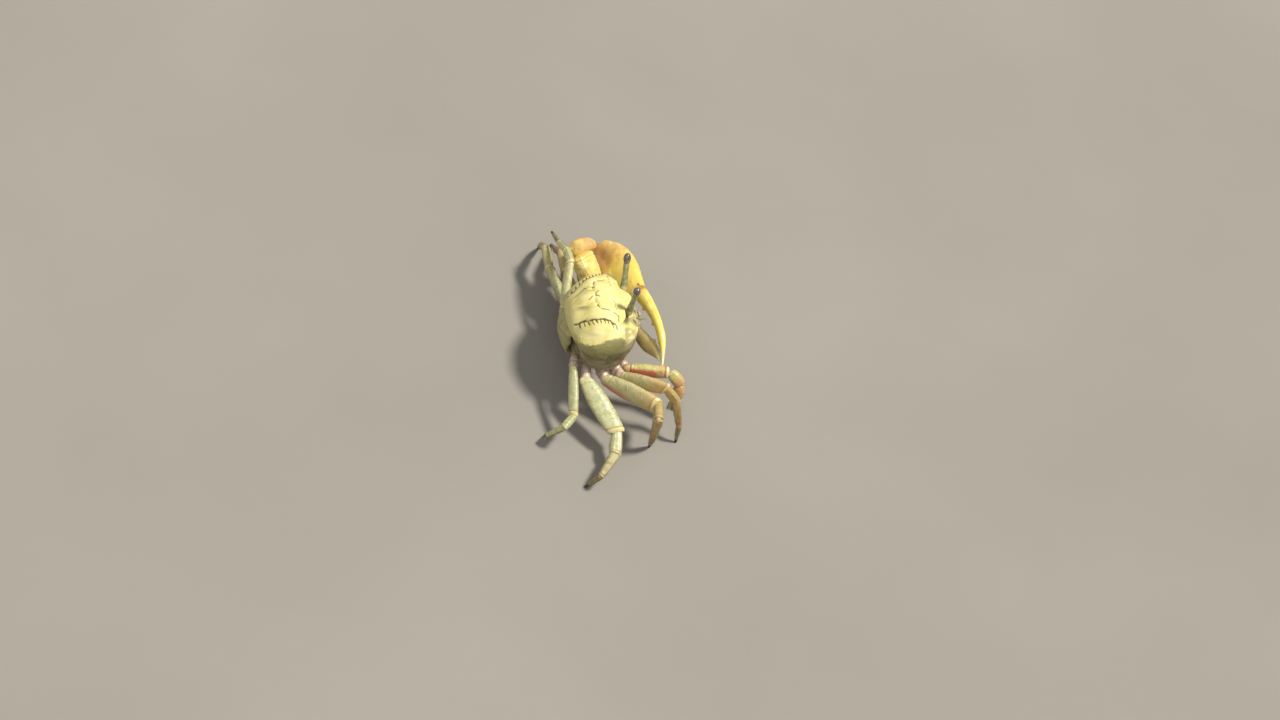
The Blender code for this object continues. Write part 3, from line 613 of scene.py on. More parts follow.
# Places along the tail's middle: forward, up, half its breadth and half its thickness.
TAIL_PATH = (
    (-51.6, -12.4, 20.0, 1.5), (-54.0, -19.0, 21.5, 1.9), (-52.0, -29.0, 20.5, 4.6),
    (-49.5, -38.0, 17.5, 5.4), (-47.2, -47.0, 14.5, 3.4), (-44.0, -55.0, 12.0, 2.0),
    (-36.0, -57.8, 9.5, 1.9), (-20.0, -58.0, 7.5, 1.9), (-4.0, -57.8, 4.0, 1.9),
)
TAIL_SEAMS = (0.07, 0.17, 0.3, 0.43, 0.56, 0.7, 0.85)

tail_finish = shell_finish(
    "tail_shell", (0.36, 0.34, 0.14), (0.26, 0.25, 0.09), (0.47, 0.44, 0.2),
    layers=(("seam", (0.15, 0.13, 0.05), 0.7, 0.3), ("rosy", (0.42, 0.3, 0.17), 0.5, 0.6)),
    mottle=800.0, grain_height=0.8, rough=(0.34, 0.55), coat=0.1,
)


def smooth_path(points, count):
    """A stated number of rows on one smooth curve through the rows given, and each row's share of the way."""
    points = np.asarray(points, float)
    legs = np.linalg.norm(np.diff(points[:, :3], axis=0), axis=1)
    at = np.concatenate([[0.0], np.cumsum(legs)]) / legs.sum()
    slopes = np.gradient(points, at, axis=0)
    share = np.linspace(0.0, 1.0, count)
    k = np.clip(np.searchsorted(at, share, side="right") - 1, 0, len(at) - 2)
    width = (at[k + 1] - at[k])[:, None]
    t = ((share - at[k]) / (at[k + 1] - at[k]))[:, None]
    a, b = points[k], points[k + 1]
    curve = (
        (2 * t**3 - 3 * t**2 + 1) * a + (t**3 - 2 * t**2 + t) * width * slopes[k]
        + (3 * t**2 - 2 * t**3) * b + (t**3 - t**2) * width * slopes[k + 1]
    )
    return curve, share


def ring_round(turn, power):
    """Up and across reach of a rounded-box ring, from -1 to 1, at each turn round it."""
    c, s = np.cos(turn), np.sin(turn)
    return np.sign(c) * np.abs(c) ** (2.0 / power), np.sign(s) * np.abs(s) ** (2.0 / power)


def rings_about(centres, up, out, half_up, half_out, cols, power):
    """Rings of stated half sizes about a line of centres."""
    rise, reach = ring_round(around(cols), power)
    return (
        centres[:, None] + up * (rise[None] * half_up[:, None])[..., None]
        + out * (reach[None] * half_out[:, None])[..., None]
    )


def dome(distance, reach, least):
    """The height of a round end at a distance from its tip, up to 1 where it joins the straight."""
    return np.sqrt(np.clip(1.0 - (1.0 - np.minimum(1.0, distance / reach)) ** 2, least, 1.0))


tail_rows, tail_share = smooth_path(TAIL_PATH, 200)
mid_side = np.zeros(len(tail_rows))
tail_line = np.stack([tail_rows[:, 0], mid_side, tail_rows[:, 1]], -1)
tail_run = unit(np.gradient(tail_line, axis=0))
tail_up = np.stack([-tail_run[:, 2], mid_side, tail_run[:, 0]], -1)
closed = dome(tail_share, 0.03, 0.04) * dome(1.0 - tail_share, 0.03, 0.04)
half_thick, half_broad = tail_rows[:, 3] * closed, tail_rows[:, 2] * closed
tail = rings_about(tail_line, tail_up[:, None], np.array([0.0, 1.0, 0.0]), half_thick, half_broad, 96, 2.2)
tail[..., 0] += (4.2 * (tail[..., 1] / 20.0) ** 2 + 0.6) * ease(0.42, 0.3, tail_share)[:, None]
tail[..., 0] += 10.0 * ease(0.21, 0.0, tail_share)[:, None] ** 1.5
tail_seam = sum(bump(tail_share, at, 0.006) for at in TAIL_SEAMS)[:, None]
tail_lip = sum(bump(tail_share, at - 0.016, 0.012) for at in TAIL_SEAMS)[:, None]
tail_relief = 0.45 * tail_lip - 0.6 * tail_seam + 0.25 * speckle(tail, 4.0, 33)
tail = raised(tail, tail_relief, inside=np.array([-40.0, 0.0, -38.0]))
fitted("folded_tail", tail, tail_finish, {
    "seam": within(tail_seam), "rosy": 0.4 * ease(0.5, 0.2, tail_share)[:, None],
}, "abdomen")


# ---- Eyes ----
# Two long stalks stand up beside the brow on short basal joints. Each ends in an oval eye of fine
# six-sided lenses, dark and wet-looking, with a pale strip up behind it from the stalk, partly the stalk's
# shell and partly a painted highlight.

STALK_PROFILE = (
    (-5.0, 1.2), (-2.5, 3.1), (0.0, 3.6), (2.5, 3.7), (3.6, 3.2), (5.0, 3.6), (12.0, 2.9), (19.0, 2.65),
    (23.0, 3.15), (26.6, 2.9),
)
HALF_EYE = 3.85

stalk_finish = shell_finish(
    "eyestalk_shell", (0.23, 0.24, 0.115), (0.15, 0.16, 0.07), (0.36, 0.35, 0.18),
    layers=(("pale", (0.52, 0.47, 0.22), 0.8, 0.4),),
    mottle=1400.0, grain=7000.0, rough=(0.22, 0.4), coat=0.25,
)
eye_finish = shell_finish(
    "cornea", (0.12, 0.1, 0.075), (0.075, 0.062, 0.048), (0.18, 0.15, 0.11),
    layers=(("pale", (0.3, 0.27, 0.17), 0.8, 0.1),),
    mottle=1500.0, grain=9000.0, grain_height=0.15, pits=-0.12, pit_scale=16000.0,
    rough=(0.06, 0.13), coat=1.0,
)


def profile(at, places):
    """A size read off a list of places and sizes."""
    return np.interp(at, *zip(*places))


def tube(centres, half_up, half_out, up, cols):
    """Round rings along a line of centres. Up is the direction the rings' first points face."""
    run = unit(np.gradient(centres, axis=0))
    up = np.broadcast_to(np.asarray(up, float), centres.shape)
    up = unit(up - run * np.sum(up * run, -1, keepdims=True))
    out = np.cross(run, up)
    return rings_about(centres, up[:, None], out[:, None], half_up, half_out, cols, 2.0)


def averaged(sizes, count):
    return np.convolve(np.pad(sizes, count // 2, "edge"), np.ones(count) / count, "valid")


for side, sign in SIDES:
    foot, run, eye_middle = eye_line(side)
    along_stalk = np.linspace(STALK_PROFILE[0][0], STALK_PROFILE[-1][0], 110)
    half = averaged(profile(along_stalk, STALK_PROFILE), 9)
    bend = 0.9 * np.sin(math.pi * within(along_stalk / STALK_LENGTH))[:, None]
    outward = np.array([-0.3, sign, 0.0])
    line = foot + run * along_stalk[:, None] - outward * bend * 0.6
    stalk = tube(line, half, half, outward, 64)
    pale_ends = np.maximum(ease(6.0, 1.0, along_stalk), 0.35 * ease(19.0, 24.0, along_stalk))
    fitted(
        side + "_eyestalk_shell", raised(stalk, 0.12 * speckle(stalk, 1.6, 41)), stalk_finish,
        {"pale": pale_ends[:, None]}, side + "_eyestalk",
    )

    sweep = math.pi * np.linspace(0.01, 0.99, 60)
    t = 0.5 - 0.5 * np.cos(sweep)
    bulge = HALF_EYE * np.sin(sweep) ** 0.92
    line = eye_middle + run * ((t - 0.5) * (EYE_LENGTH + 1.2))[:, None]
    # The eye's pale strip is partly the stalk's shell and partly a painted highlight.
    behind = 0.5 + 0.5 * np.cos(around(72) - math.pi)
    fitted(
        side + "_eye_lens", tube(line, bulge, bulge, outward, 72), eye_finish,
        {"pale": 0.7 * ease(0.85, 0.98, behind) * ease(0.6, 0.3, t)[:, None]}, side + "_eye",
    )


# ---- Feelers ----
# A short jointed feeler at each eye trough's inner corner, and a pair of smaller ones that fold away
# under the brow. Thin shell rings, pale at the joints.

FEELER_PROFILE = (
    (-2.5, 0.7), (-1.0, 1.2), (0.0, 1.3), (2.0, 1.2), (3.2, 1.0), (3.8, 0.6), (7.0, 0.42), (10.0, 0.15),
)
FEELER_RING_PITCH = 0.75

feeler_finish = shell_finish(
    "feeler", (0.24, 0.21, 0.1), (0.15, 0.13, 0.06), (0.36, 0.31, 0.17),
    layers=(("pale", (0.45, 0.4, 0.22), 0.6, 0.2),), mottle=1500.0, rough=(0.3, 0.5),
)
for side, sign in SIDES:
    foot = np.array([18.5, 20.0 * sign, -1.5])
    run = unit([0.72, 0.62 * sign, 0.3])
    along_feeler = np.linspace(FEELER_PROFILE[0][0], FEELER_PROFILE[-1][0], 130)
    rings = 0.6 * ease(3.8, 4.2, along_feeler) * ripple(along_feeler, FEELER_RING_PITCH)
    half = profile(along_feeler, FEELER_PROFILE) + 0.07 * rings
    line = foot + run * along_feeler[:, None] + np.array([0.0, 0.0, 1.0]) * (0.012 * along_feeler**2)[:, None]
    feeler = tube(line, half, half, (0.0, 0.0, 1.0), 28)
    inner_root, inner_tip = np.array([15.8, 4.0 * sign, -1.5]), np.array([18.6, 8.6 * sign, -4.2])
    step = np.linspace(0.0, 1.0, 40)
    plump = 1.3 * np.sin(math.pi * within(step * 0.9 + 0.08)) ** 0.6
    inner_line = inner_root + (inner_tip - inner_root) * step[:, None]
    folded = tube(inner_line, plump, plump * 0.8, (1.0, 0.0, 0.3), 32)
    fitted(
        side + "_feelers", [feeler, folded], feeler_finish,
        [{"pale": (0.5 + 0.5 * rings)[:, None]}, {"pale": 0.5 * step[:, None]}], side + "_antenna",
    )


# ---- Mouth plates ----
# The outermost mouth limbs close over the mouth like two doors. Each has a broad lower plate, a shorter
# upper plate hinged to it, and a small folded palp at the upper inner corner.

PALP_PATH = ((25.5, 6.5, -15.0), (26.4, 3.0, -16.5), (25.9, 2.0, -22.0), (24.4, 2.6, -27.5))
PALP_PROFILE = ((0.0, 0.7), (0.1, 1.3), (0.33, 1.25), (0.37, 0.95), (0.64, 1.05), (0.68, 0.8), (1.0, 0.3))

mouth_finish = shell_finish(
    "mouth_plates", (0.44, 0.35, 0.19), (0.32, 0.24, 0.12), (0.56, 0.46, 0.28),
    layers=(("seam", (0.2, 0.13, 0.08), 0.8, 0.3),), mottle=900.0, rough=(0.34, 0.52), coat=0.1,
)


def face_depth(side, height):
    """Depth of the face below the girdle, at a distance to the side and a height."""
    return 22.5 - 8.5 * within((height + 11.0) / -34.0) ** 1.8 - 0.0035 * side**2


def door(middle, half_wide, half_tall, lean, seed):
    """A rounded plate that follows the face, and the groove down each of its sides."""
    lift = np.linspace(-0.5 * math.pi, 0.5 * math.pi, 62)[1:-1, None]
    c, s = ring_round(around(80), 3.6)
    spread = np.abs(np.cos(lift)) ** 0.35
    side = middle[0] + half_wide * c * spread
    height = middle[1] + half_tall * s * spread
    side = side + lean * (height - middle[1])
    out = face_depth(side, height) + 3.2 * np.sin(lift) * np.where(lift > 0, 1.0, 0.6)
    plate = np.stack([out, side, height], -1)
    groove = bump(np.abs(side - middle[0]), 0.55 * half_wide, 0.8) * (np.sin(lift) > 0.1)
    return raised(plate, -0.35 * groove + 0.18 * speckle(plate, 2.4, seed)), groove


door_fringes = []
for side, sign in SIDES:
    lower_door, lower_groove = door((10.3 * sign, -35.2), 9.9, 10.6, 0.05 * sign, 51)
    upper_door, upper_groove = door((10.0 * sign, -19.6), 9.3, 4.7, -0.08 * sign, 52)
    palp_line, palp_share = smooth_path(np.array(PALP_PATH) * (1.0, sign, 1.0), 60)
    palp_half = profile(palp_share, PALP_PROFILE)
    palp = tube(palp_line, palp_half, palp_half, (1.0, 0.0, 0.0), 32)
    fitted(
        side + "_mouth_plates", [lower_door, upper_door, palp], mouth_finish,
        [{"seam": lower_groove}, {"seam": upper_groove}, {"seam": 0.0}],
    )
    for plate in (lower_door, upper_door):
        rim = bump(np.linspace(-1.0, 1.0, len(plate)), 0.0, 0.22)[:, None]
        door_fringes.append((plate, rim * (plate[..., 0] > 15.0) + 1e-6))


# ---- Walking legs ----
# Four on each side, each of five shell tubes: base knob, long flat thigh, knee, shin and pointed toe. A band
# of soft skin closes each joint, and the thigh's far end carries a pale collar with a knob on each face.

PARTS = ("coxa", "merus", "carpus", "propodus", "dactyl")
# The lengths of a leg's four outer pieces, and the depth of its thigh.
LEG_SIZES = {
    1: ((48.0, 20.0, 30.0, 24.0), 17.5),
    2: ((60.0, 23.0, 33.0, 26.0), 21.0),
    3: ((62.0, 23.0, 33.0, 26.0), 20.5),
    4: ((51.0, 17.0, 23.0, 20.0), 11.5),
}
BASE_STARTS = {
    1: (-4.0, 27.5, -53.5), 2: (-16.0, 28.5, -54.5), 3: (-28.0, 27.0, -54.0), 4: (-38.5, 21.0, -51.0),
}
# Each leg's hip, the headings of its outer pieces, how steeply they rise, and the toe's rise where it is off
# the floor. Headings turn backward from straight out to the side, in degrees.
STANCE = {
    "right_leg_1": ((5.4, 49.6, -53.0), (58, 80, 28, 36), (13, -52, -62), None),
    "right_leg_2": ((-10.5, 49.0, -58.0), (54, -12, -20, 168), (1, 16, -97), None),
    "right_leg_3": ((-31.5, 50.0, -58.0), (29, -10, -34, -110), (-19, -22, 2), None),
    "right_leg_4": ((-43.5, 39.0, -50.0), (-3, -42, -110, 172), (-25, -4, -54), None),
    "left_leg_1": ((-2.0, 48.0, -57.5), (-11, 0, 8, 8), (-8, 14, -38), None),
    "left_leg_2": ((-15.0, 50.0, -58.0), (-13, -2, 2, 2), (0, 8, -42), None),
    "left_leg_3": ((-30.0, 49.0, -57.0), (-15, -2, 6, 6), (4, 8, -42), None),
    "left_leg_4": ((-42.5, 39.5, -41.0), (12, -4, -10, -12), (30, -12, -26), -16),
}
# How strongly each leg is orange, red at its root, brown at its end, and paled, partly by mud and partly as a
# painted highlight.
LEG_HUES = {
    "right_leg_1": (0.75, 0.9, 0.9, 0.0), "right_leg_2": (0.6, 0.8, 0.8, 0.0),
    "right_leg_3": (0.15, 0.3, 0.7, 0.0), "right_leg_4": (0.05, 0.15, 0.3, 0.0),
    "left_leg_1": (0.5, 0.6, 0.7, 0.0), "left_leg_2": (0.5, 0.6, 0.7, 0.0),
    "left_leg_3": (0.3, 0.3, 0.6, 0.0), "left_leg_4": (0.05, 0.1, 0.3, 1.0),
}
HALF_TOE_TIP = 1.15
STEEPEST_MITRE = math.radians(38.0)
SWELLS = {
    "coxa": lambda t: 0.8 + 0.5 * np.sin(math.pi * within(t)) ** 0.8 - 0.12 * bump(t, 0.7, 0.06),
    "merus": lambda t: 0.62 + 0.38 * np.sin(math.pi * np.minimum(0.5, t)) - 0.14 * ease(0.62, 1.0, t),
    "carpus": lambda t: 0.7 + 0.3 * np.sin(math.pi * 0.75 * t),
    "propodus": lambda t: 1.0 - 0.32 * t,
}
BASE_END = 0.85

leg_finish = shell_finish(
    "leg_shell", (0.45, 0.46, 0.24), (0.36, 0.37, 0.17), (0.57, 0.55, 0.33),
    layers=(
        ("warm", (0.58, 0.35, 0.1), 0.9, 0.7), ("rosy", (0.56, 0.17, 0.11), 0.85, 0.8),
        ("brown", (0.22, 0.12, 0.045), 0.9, 0.8), ("bars", (0.13, 0.14, 0.05), 0.4, 0.6),
        ("pale", (0.7, 0.6, 0.28), 0.75, 0.35), ("line", (0.5, 0.2, 0.05), 0.7, 0.3),
    ),
    mottle=1000.0, grain_height=0.8, pits=-0.3, pit_scale=3800.0, rough=(0.3, 0.5), coat=0.15,
)
toe_finish = shell_finish(
    "toe_shell", (0.3, 0.25, 0.12), (0.2, 0.16, 0.08), (0.45, 0.4, 0.22),
    layers=(
        ("warm", (0.45, 0.24, 0.08), 0.7, 0.7), ("horn", (0.05, 0.028, 0.014), 0.95, 0.2),
        # On the toes the bars layer is painted shade in the furrows.
        ("bars", (0.09, 0.07, 0.035), 0.7, 0.4),
    ),
    mottle=1100.0, grain_height=0.9, rough=(0.35, 0.6),
)
coxa_finish = shell_finish(
    "coxa_shell", (0.5, 0.36, 0.28), (0.36, 0.22, 0.18), (0.64, 0.5, 0.38),
    layers=(("pale", (0.6, 0.5, 0.36), 0.7, 0.5), ("line", (0.22, 0.1, 0.07), 0.7, 0.5)),
    mottle=1000.0, grain_height=0.5, rough=(0.16, 0.34), coat=0.5,
)
skin_finish = shell_finish(
    "joint_skin", (0.52, 0.36, 0.19), (0.42, 0.27, 0.13), (0.62, 0.46, 0.27),
    # The crease layer is painted shade in the folds of the joint skin.
    layers=(("crease_shade", (0.38, 0.23, 0.12), 0.5, 0.3),),
    mottle=1600.0, grain_height=0.5, rough=(0.25, 0.42), coat=0.3,
)


def standing(point):
    """A point of the crab's frame in the room's directions, in units above the floor."""
    return turned(point) + STANDING * ROOM_UP


def from_standing(points):
    return np.asarray(points) * U + CRAB_PLACE * (1.0, 1.0, 0.0)


def heading_vector(sign, heading, lift):
    h, v = math.radians(heading), math.radians(lift)
    return np.array([sign * math.cos(h) * math.cos(v), -math.sin(h) * math.cos(v), math.sin(v)])


def mitre(before, after, half_depth):
    """The slants of two ends that meet at a bend, and how far both draw back to clear each other."""
    half_bend = 0.5 * math.acos(max(-1.0, min(1.0, float(before @ after))))
    slant = min(half_bend, STEEPEST_MITRE)
    hinge = np.cross(before, after)
    if np.linalg.norm(hinge) < 1e-6:
        return before, after, 0.5 * JOINT_GAP
    hinge = unit(hinge)
    first = before * math.cos(slant) + np.cross(hinge, before) * math.sin(slant)
    second = after * math.cos(slant) - np.cross(hinge, after) * math.sin(slant)
    back = 0.55 * JOINT_GAP / math.cos(slant) + 0.9 * half_depth * math.tan(half_bend - slant)
    return first, second, back


def leg_frame(name):
    """Ends, directions, hinge, depths and widths of a leg's five pieces."""
    hip, headings, lifts, toe_lift = STANCE[name]
    number = int(name[-1])
    mirror = np.array([1.0, 1.0 if name.startswith("left") else -1.0, 1.0])
    lengths, depth = LEG_SIZES[number]
    ends = [standing(BASE_STARTS[number] * mirror), standing(hip * mirror)]
    for length, heading, lift in zip(lengths, headings, lifts):
        ends.append(ends[-1] + heading_vector(mirror[1], heading, lift) * length)
    if toe_lift is None:
        toe_lift = -math.degrees(math.asin(ends[-1][2] / lengths[3]))
    ends.append(ends[-1] + heading_vector(mirror[1], headings[3], toe_lift) * lengths[3])
    runs = [unit(b - a) for a, b in zip(ends, ends[1:])]
    hinge = unit(np.cross(runs[1], ends[5] - ends[2]))
    base_sizes, deep_shares, wide_shares = (10.5, 9.0), (1.0, 0.62, 0.5, 0.34), (0.52, 0.45, 0.34, 0.26)
    if number == 4:
        base_sizes, deep_shares, wide_shares = (9.0, 8.5), (1.0, 0.8, 0.62, 0.45), (0.7, 0.62, 0.5, 0.36)
    deep = dict(zip(PARTS, (base_sizes[0], *(depth * share for share in deep_shares))))
    wide = dict(zip(PARTS, (base_sizes[1], *(depth * share for share in wide_shares))))
    return ends, runs, hinge, deep, wide


def squared(up, run):
    """The part of one direction that is square to another, as a unit vector."""
    return unit(up - run * (run @ up))


def tapered(tip):
    """Sizes along a toe, from 1 to a stated share at its tip."""
    return lambda t: tip + (1.0 - tip) * (1.0 - t) ** 0.9


def flattened(size):
    """Sizes that swell half as much as the ones given."""
    return lambda t: 0.5 + 0.5 * size(t)


def leg_piece(start, end, up, deep, wide, size, slim, planes, rows, cols):
    """Rings from joint to joint, narrower along the upper edge, with mitred ends."""
    run = unit(end - start)
    up = squared(up, run)
    out = np.cross(run, up)
    end_part = 0.07
    t = np.concatenate([
        end_part * np.linspace(0.0, 1.0, 14)[:-1] ** 2, np.linspace(end_part, 1.0 - end_part, rows - 26),
        1.0 - end_part * np.linspace(1.0, 0.0, 14)[1:] ** 2,
    ])
    turn = around(cols)
    rise, reach = ring_round(turn, 2.3)
    reach = reach * (1.0 - 0.12 * np.cos(turn))
    to_end = np.minimum(t, 1.0 - t)
    ended = np.where(to_end < end_part, 0.74 + 0.26 * np.sqrt(within(to_end / end_part)), 1.0)
    centre = (start + (end - start) * t[:, None])[:, None]
    grid = (
        centre + up * (rise[None] * (0.5 * deep * size(t) * ended)[:, None])[..., None]
        + out * (reach[None] * (0.5 * wide * slim(t) * ended)[:, None])[..., None]
    )
    slide = np.zeros(grid.shape[:2])
    for plane, share in zip(planes, (within(1.0 - 2.0 * t), within(2.0 * t - 1.0))):
        if plane is not None:
            slide += share[:, None] * ((grid - centre) @ plane) / (run @ plane)
    return grid - run * slide[..., None], *np.meshgrid(t, turn, indexing="ij")


def turn_from(turn, at, width):
    """1 at a place round a ring and 0 away from it."""
    return np.exp(-((np.angle(np.exp(1j * (turn - at)))) / width) ** 2)


def joint_ball(centre, run, up, half_deep, half_wide):
    """Folded soft skin inside a joint, painted darker in its creases as shade."""
    sweep = math.pi * np.linspace(0.02, 0.98, 34)
    t = 0.5 - 0.5 * np.cos(sweep)
    line = centre + run * ((t - 0.5) * 1.9 * half_deep)[:, None]
    folds = 0.5 + 0.5 * ripple(t, 0.2)
    bulge = np.sin(sweep) * (1.0 - 0.03 * folds)
    return tube(line, half_deep * bulge, half_wide * bulge, up, 40), {"crease_shade": folds[:, None]}


def joint_skin(name, balls, place=room):
    grids, values = zip(*(joint_ball(*ball) for ball in balls))
    fitted(name, grids, skin_finish, values, place=place)


def base_relief(T, upper, across, **rest):
    """A base knob's pale hinge bosses, a painted highlight along its top, and the seam where the short pieces
    beyond it begin.
    """
    knobs, seam = bump(T, 0.88, 0.09) * across**8, bump(T, 0.7, 0.03)
    # The pale value is the real pale bosses plus a painted highlight on the knob's upper side.
    pale = within(knobs + 0.5 * ease(0.2, 0.9, upper))
    return 0.4 * knobs - 0.35 * seam, {"pale": pale, "line": 0.7 * seam}


def thigh_relief(T, upper, across, fine, dirt, long, hues, grid, seed, **rest):
    """A thigh's broken ripples, spines along its lower edge, a seam near its root and a collar at its end."""
    warm, rosy, brown, mud_and_highlight = hues
    ripples = ease(0.3, 0.95, ripple(T * long / 2.3 + 0.9 * dirt + 0.15 * upper, 1.0))
    ripples = ripples * ease(-0.3, 0.5, upper + 0.7 * fine) * ease(0.1, 0.2, T) * ease(0.9, 0.8, T)
    ripples = ripples * ease(-0.5, 0.3, speckle(grid, 4.5, seed + 3))
    collar = ease(0.925, 0.945, T) * ease(1.01, 0.99, T)
    knobs = bump(T, 0.955, 0.022) * across**10
    spines = ease(0.5, 0.95, ripple(T * long, 2.6)) * bump(upper, -0.96, 0.1) * ease(0.2, 0.4, T)
    relief = (
        0.14 * ripples + 0.25 * collar - 0.5 * bump(T, 0.922, 0.01) + 0.6 * knobs + 0.3 * spines
        - 0.6 * bump(T, 0.115, 0.012)
    )
    return relief, {
        # On a paled leg, the pale value is partly mud and partly a painted highlight.
        "pale": within(0.85 * collar + 0.4 * ease(0.12, 0.05, T) + 0.45 * mud_and_highlight),
        "line": bump(T, 0.924, 0.011) * (0.5 + 0.5 * ease(-0.6, 0.4, fine)),
        "warm": warm * (0.55 + 0.45 * ease(0.5, 0.95, T)),
        "rosy": rosy * ease(0.35, -0.6, upper) * ease(0.8, 0.25, T),
        "brown": 0.25 * brown * ease(0.75, 1.0, T), "bars": ripples,
    }


def shin_relief(T, TURN, upper, across, fine, dirt, long, hues, part, **rest):
    """A knee's or a shin's four rough ridges, and a lip with two knobs at its end."""
    warm, rosy, brown, mud_and_highlight = hues
    ridges = sum(turn_from(TURN, at, 0.13) for at in (0.75, 1.9, -0.75, -1.9))
    ridges = ridges * ease(0.04, 0.2, T) * ease(1.0, 0.88, T)
    rough_rows = ease(0.2, 0.9, ripple(T * long / 1.7 + 0.3 * fine, 1.0)) * ridges
    lip = ease(0.94, 0.98, T)
    far = 0.5 + 0.5 * T
    if part == "carpus":
        lip = ease(0.9, 0.96, T) * ease(1.01, 0.985, T)
        far = 0.35
    knobs = bump(T, 0.95, 0.03) * across**10
    return 0.35 * ridges + 0.18 * rough_rows + 0.3 * lip + 0.5 * knobs - 0.4 * bump(T, 0.88, 0.02), {
        # On a paled leg, the pale value is partly mud and partly a painted highlight.
        "pale": within(0.55 * lip + 0.3 * ease(0.07, 0.02, T) + 0.3 * mud_and_highlight),
        "line": 0.5 * bump(T, 0.89, 0.02),
        "warm": 0.8 * within(warm + 0.1),
        "rosy": 0.35 * rosy * ease(0.1, -0.7, upper) * ease(0.8, 0.2, T),
        "brown": brown * far * (0.75 + 0.25 * ease(-0.3, 0.5, dirt)),
        "bars": 0.5 * rough_rows + 0.5 * ease(0.25, 0.7, dirt),
    }


def toe_relief(T, TURN, fine, hues, **rest):
    """A toe's six furrows, painted darker as shade, and its dark horny tip."""
    furrow = sum(turn_from(TURN, at, 0.16) for at in (0.6, 1.57, 2.5, -0.6, -1.57, -2.5))
    return -0.42 * furrow, {
        # The bars value on a toe is painted shade in its furrows.
        "warm": 0.5 * hues[0], "horn": ease(0.72, 0.84, T + 0.03 * fine), "bars": furrow * ease(0.95, 0.7, T),
    }


RELIEFS = {
    "coxa": base_relief, "merus": thigh_relief, "carpus": shin_relief, "propodus": shin_relief,
    "dactyl": toe_relief,
}
LEG_ROWS = {"coxa": 66, "merus": 200, "carpus": 96, "propodus": 120, "dactyl": 120}
LEG_COLUMNS = {"coxa": 60, "merus": 72, "carpus": 60, "propodus": 60, "dactyl": 52}


def to_floor(toe, T, run):
    """A standing toe's skin, kept off the floor except at its tip, which is cut level with the floor."""
    toe = np.where((T > 0.95)[..., None], toe, np.maximum(toe, [-1e9, -1e9, 0.35]))
    toe[-1] = toe[-1] - run * (toe[-1][:, 2:] / run[2])
    toe[..., 2] = np.maximum(toe[..., 2], 0.0)
    return toe


leg_surfaces = {}
for order, name in enumerate(STANCE):
    ends, runs, hinge, deep, wide = leg_frame(name)
    seed = 100 + 7 * order
    trims, starts, stops = [0.5 * JOINT_GAP], [runs[0]], []
    for i in range(4):
        here = (SWELLS[PARTS[i]](1.0) if i else BASE_END) * deep[PARTS[i]]
        ahead = (SWELLS[PARTS[i + 1]](0.0) if i < 3 else 1.0) * deep[PARTS[i + 1]]
        stop, begin, back_off = mitre(runs[i], runs[i + 1], 0.25 * (here + ahead))
        stops.append(stop)
        starts.append(begin)
        trims.append(back_off)
    stops.append(None)
    balls = []
    for i, part in enumerate(PARTS):
        up = np.cross(runs[i], hinge) if i else ROOM_UP
        tuck = min(trims[i] + 0.16 * deep[part], 3.2) if i else 0.0
        first = ends[i] + runs[i] * (trims[i] - tuck)
        if part == "dactyl":
            last = ends[5]
            size, slim = (tapered(HALF_TOE_TIP / (0.5 * across)) for across in (deep[part], wide[part]))
        else:
            last = ends[i + 1] - runs[i] * max(trims[i + 1] - 1.2, 0.2)
            size = SWELLS[part]
            slim = flattened(size)
        grid, T, TURN = leg_piece(
            first, last, up, deep[part], wide[part], size, slim, (starts[i], stops[i]),
            LEG_ROWS[part], LEG_COLUMNS[part],
        )
        long = float(np.linalg.norm(ends[i + 1] - ends[i]))
        dirt, fine = speckle(grid, 3.6, seed + i), speckle(grid, 1.1, seed + i + 1)
        relief, values = RELIEFS[part](
            T=T, TURN=TURN, upper=np.cos(TURN), across=np.abs(np.sin(TURN)), dirt=dirt, fine=fine, long=long,
            hues=LEG_HUES[name], part=part, grid=grid, seed=seed,
        )
        relief = relief + 0.18 * dirt + 0.08 * fine
        if part == "dactyl":
            grid = raised(grid, relief * within((1.0 - T) / 0.14))
            if STANCE[name][3] is None:
                grid = to_floor(grid, T, runs[4])
        else:
            grid = raised(grid, relief)
        finish, slot = {"coxa": (coxa_finish, "coxa_shell"), "dactyl": (toe_finish, "toe_shell")}.get(
            part, (leg_finish, "leg_shell")
        )
        fitted(f"{name}_{part}_shell", grid, finish, values, f"{name}_{part}", from_standing)
        leg_surfaces[(name, part)] = (grid, T, TURN)
        if part != "dactyl":
            ahead = PARTS[i + 1]
            start_size = SWELLS[ahead](0.0) if i < 3 else 1.0
            half_up = 0.45 * min(deep[part] * size(1.0), deep[ahead] * start_size)
            half_out = 0.44 * min(wide[part], wide[ahead])
            lean = unit(runs[i] + runs[i + 1]) if float(runs[i] @ runs[i + 1]) > -0.9 else runs[i]
            balls.append((ends[i + 1], lean, up, half_up, half_out))
    balls.append((ends[0] - runs[0] * 0.5, runs[0], ROOM_UP, 4.4, 4.2))
    joint_skin(name + "_joint_skin", balls, from_standing)


# ---- Large claw ----
# The male's great left claw: base knob, arm and wrist carry a deep palm of thick horn drawn out below into
# a fixed finger. A long hooked finger hinges on the palm's upper corner. Both fingers are edged with teeth.

CLAW_BASE = np.array([8.4, 29.5, -55.0])
CLAW_SHOULDER = np.array([8.2, 55.0, -57.0])
CLAW_ELBOW = np.array([-22.8, 97.4, -8.6])
CLAW_WRIST = np.array([-0.3, 121.8, -25.0])
CLAW_RUN = unit([0.29, -0.945, -0.15])
CLAW_UP = squared(np.array([0.5, 0.0, 0.866]), CLAW_RUN)
CLAW_OUT = np.cross(CLAW_RUN, CLAW_UP)
ARM_UP = np.array([-0.8, 0.0, 0.6])
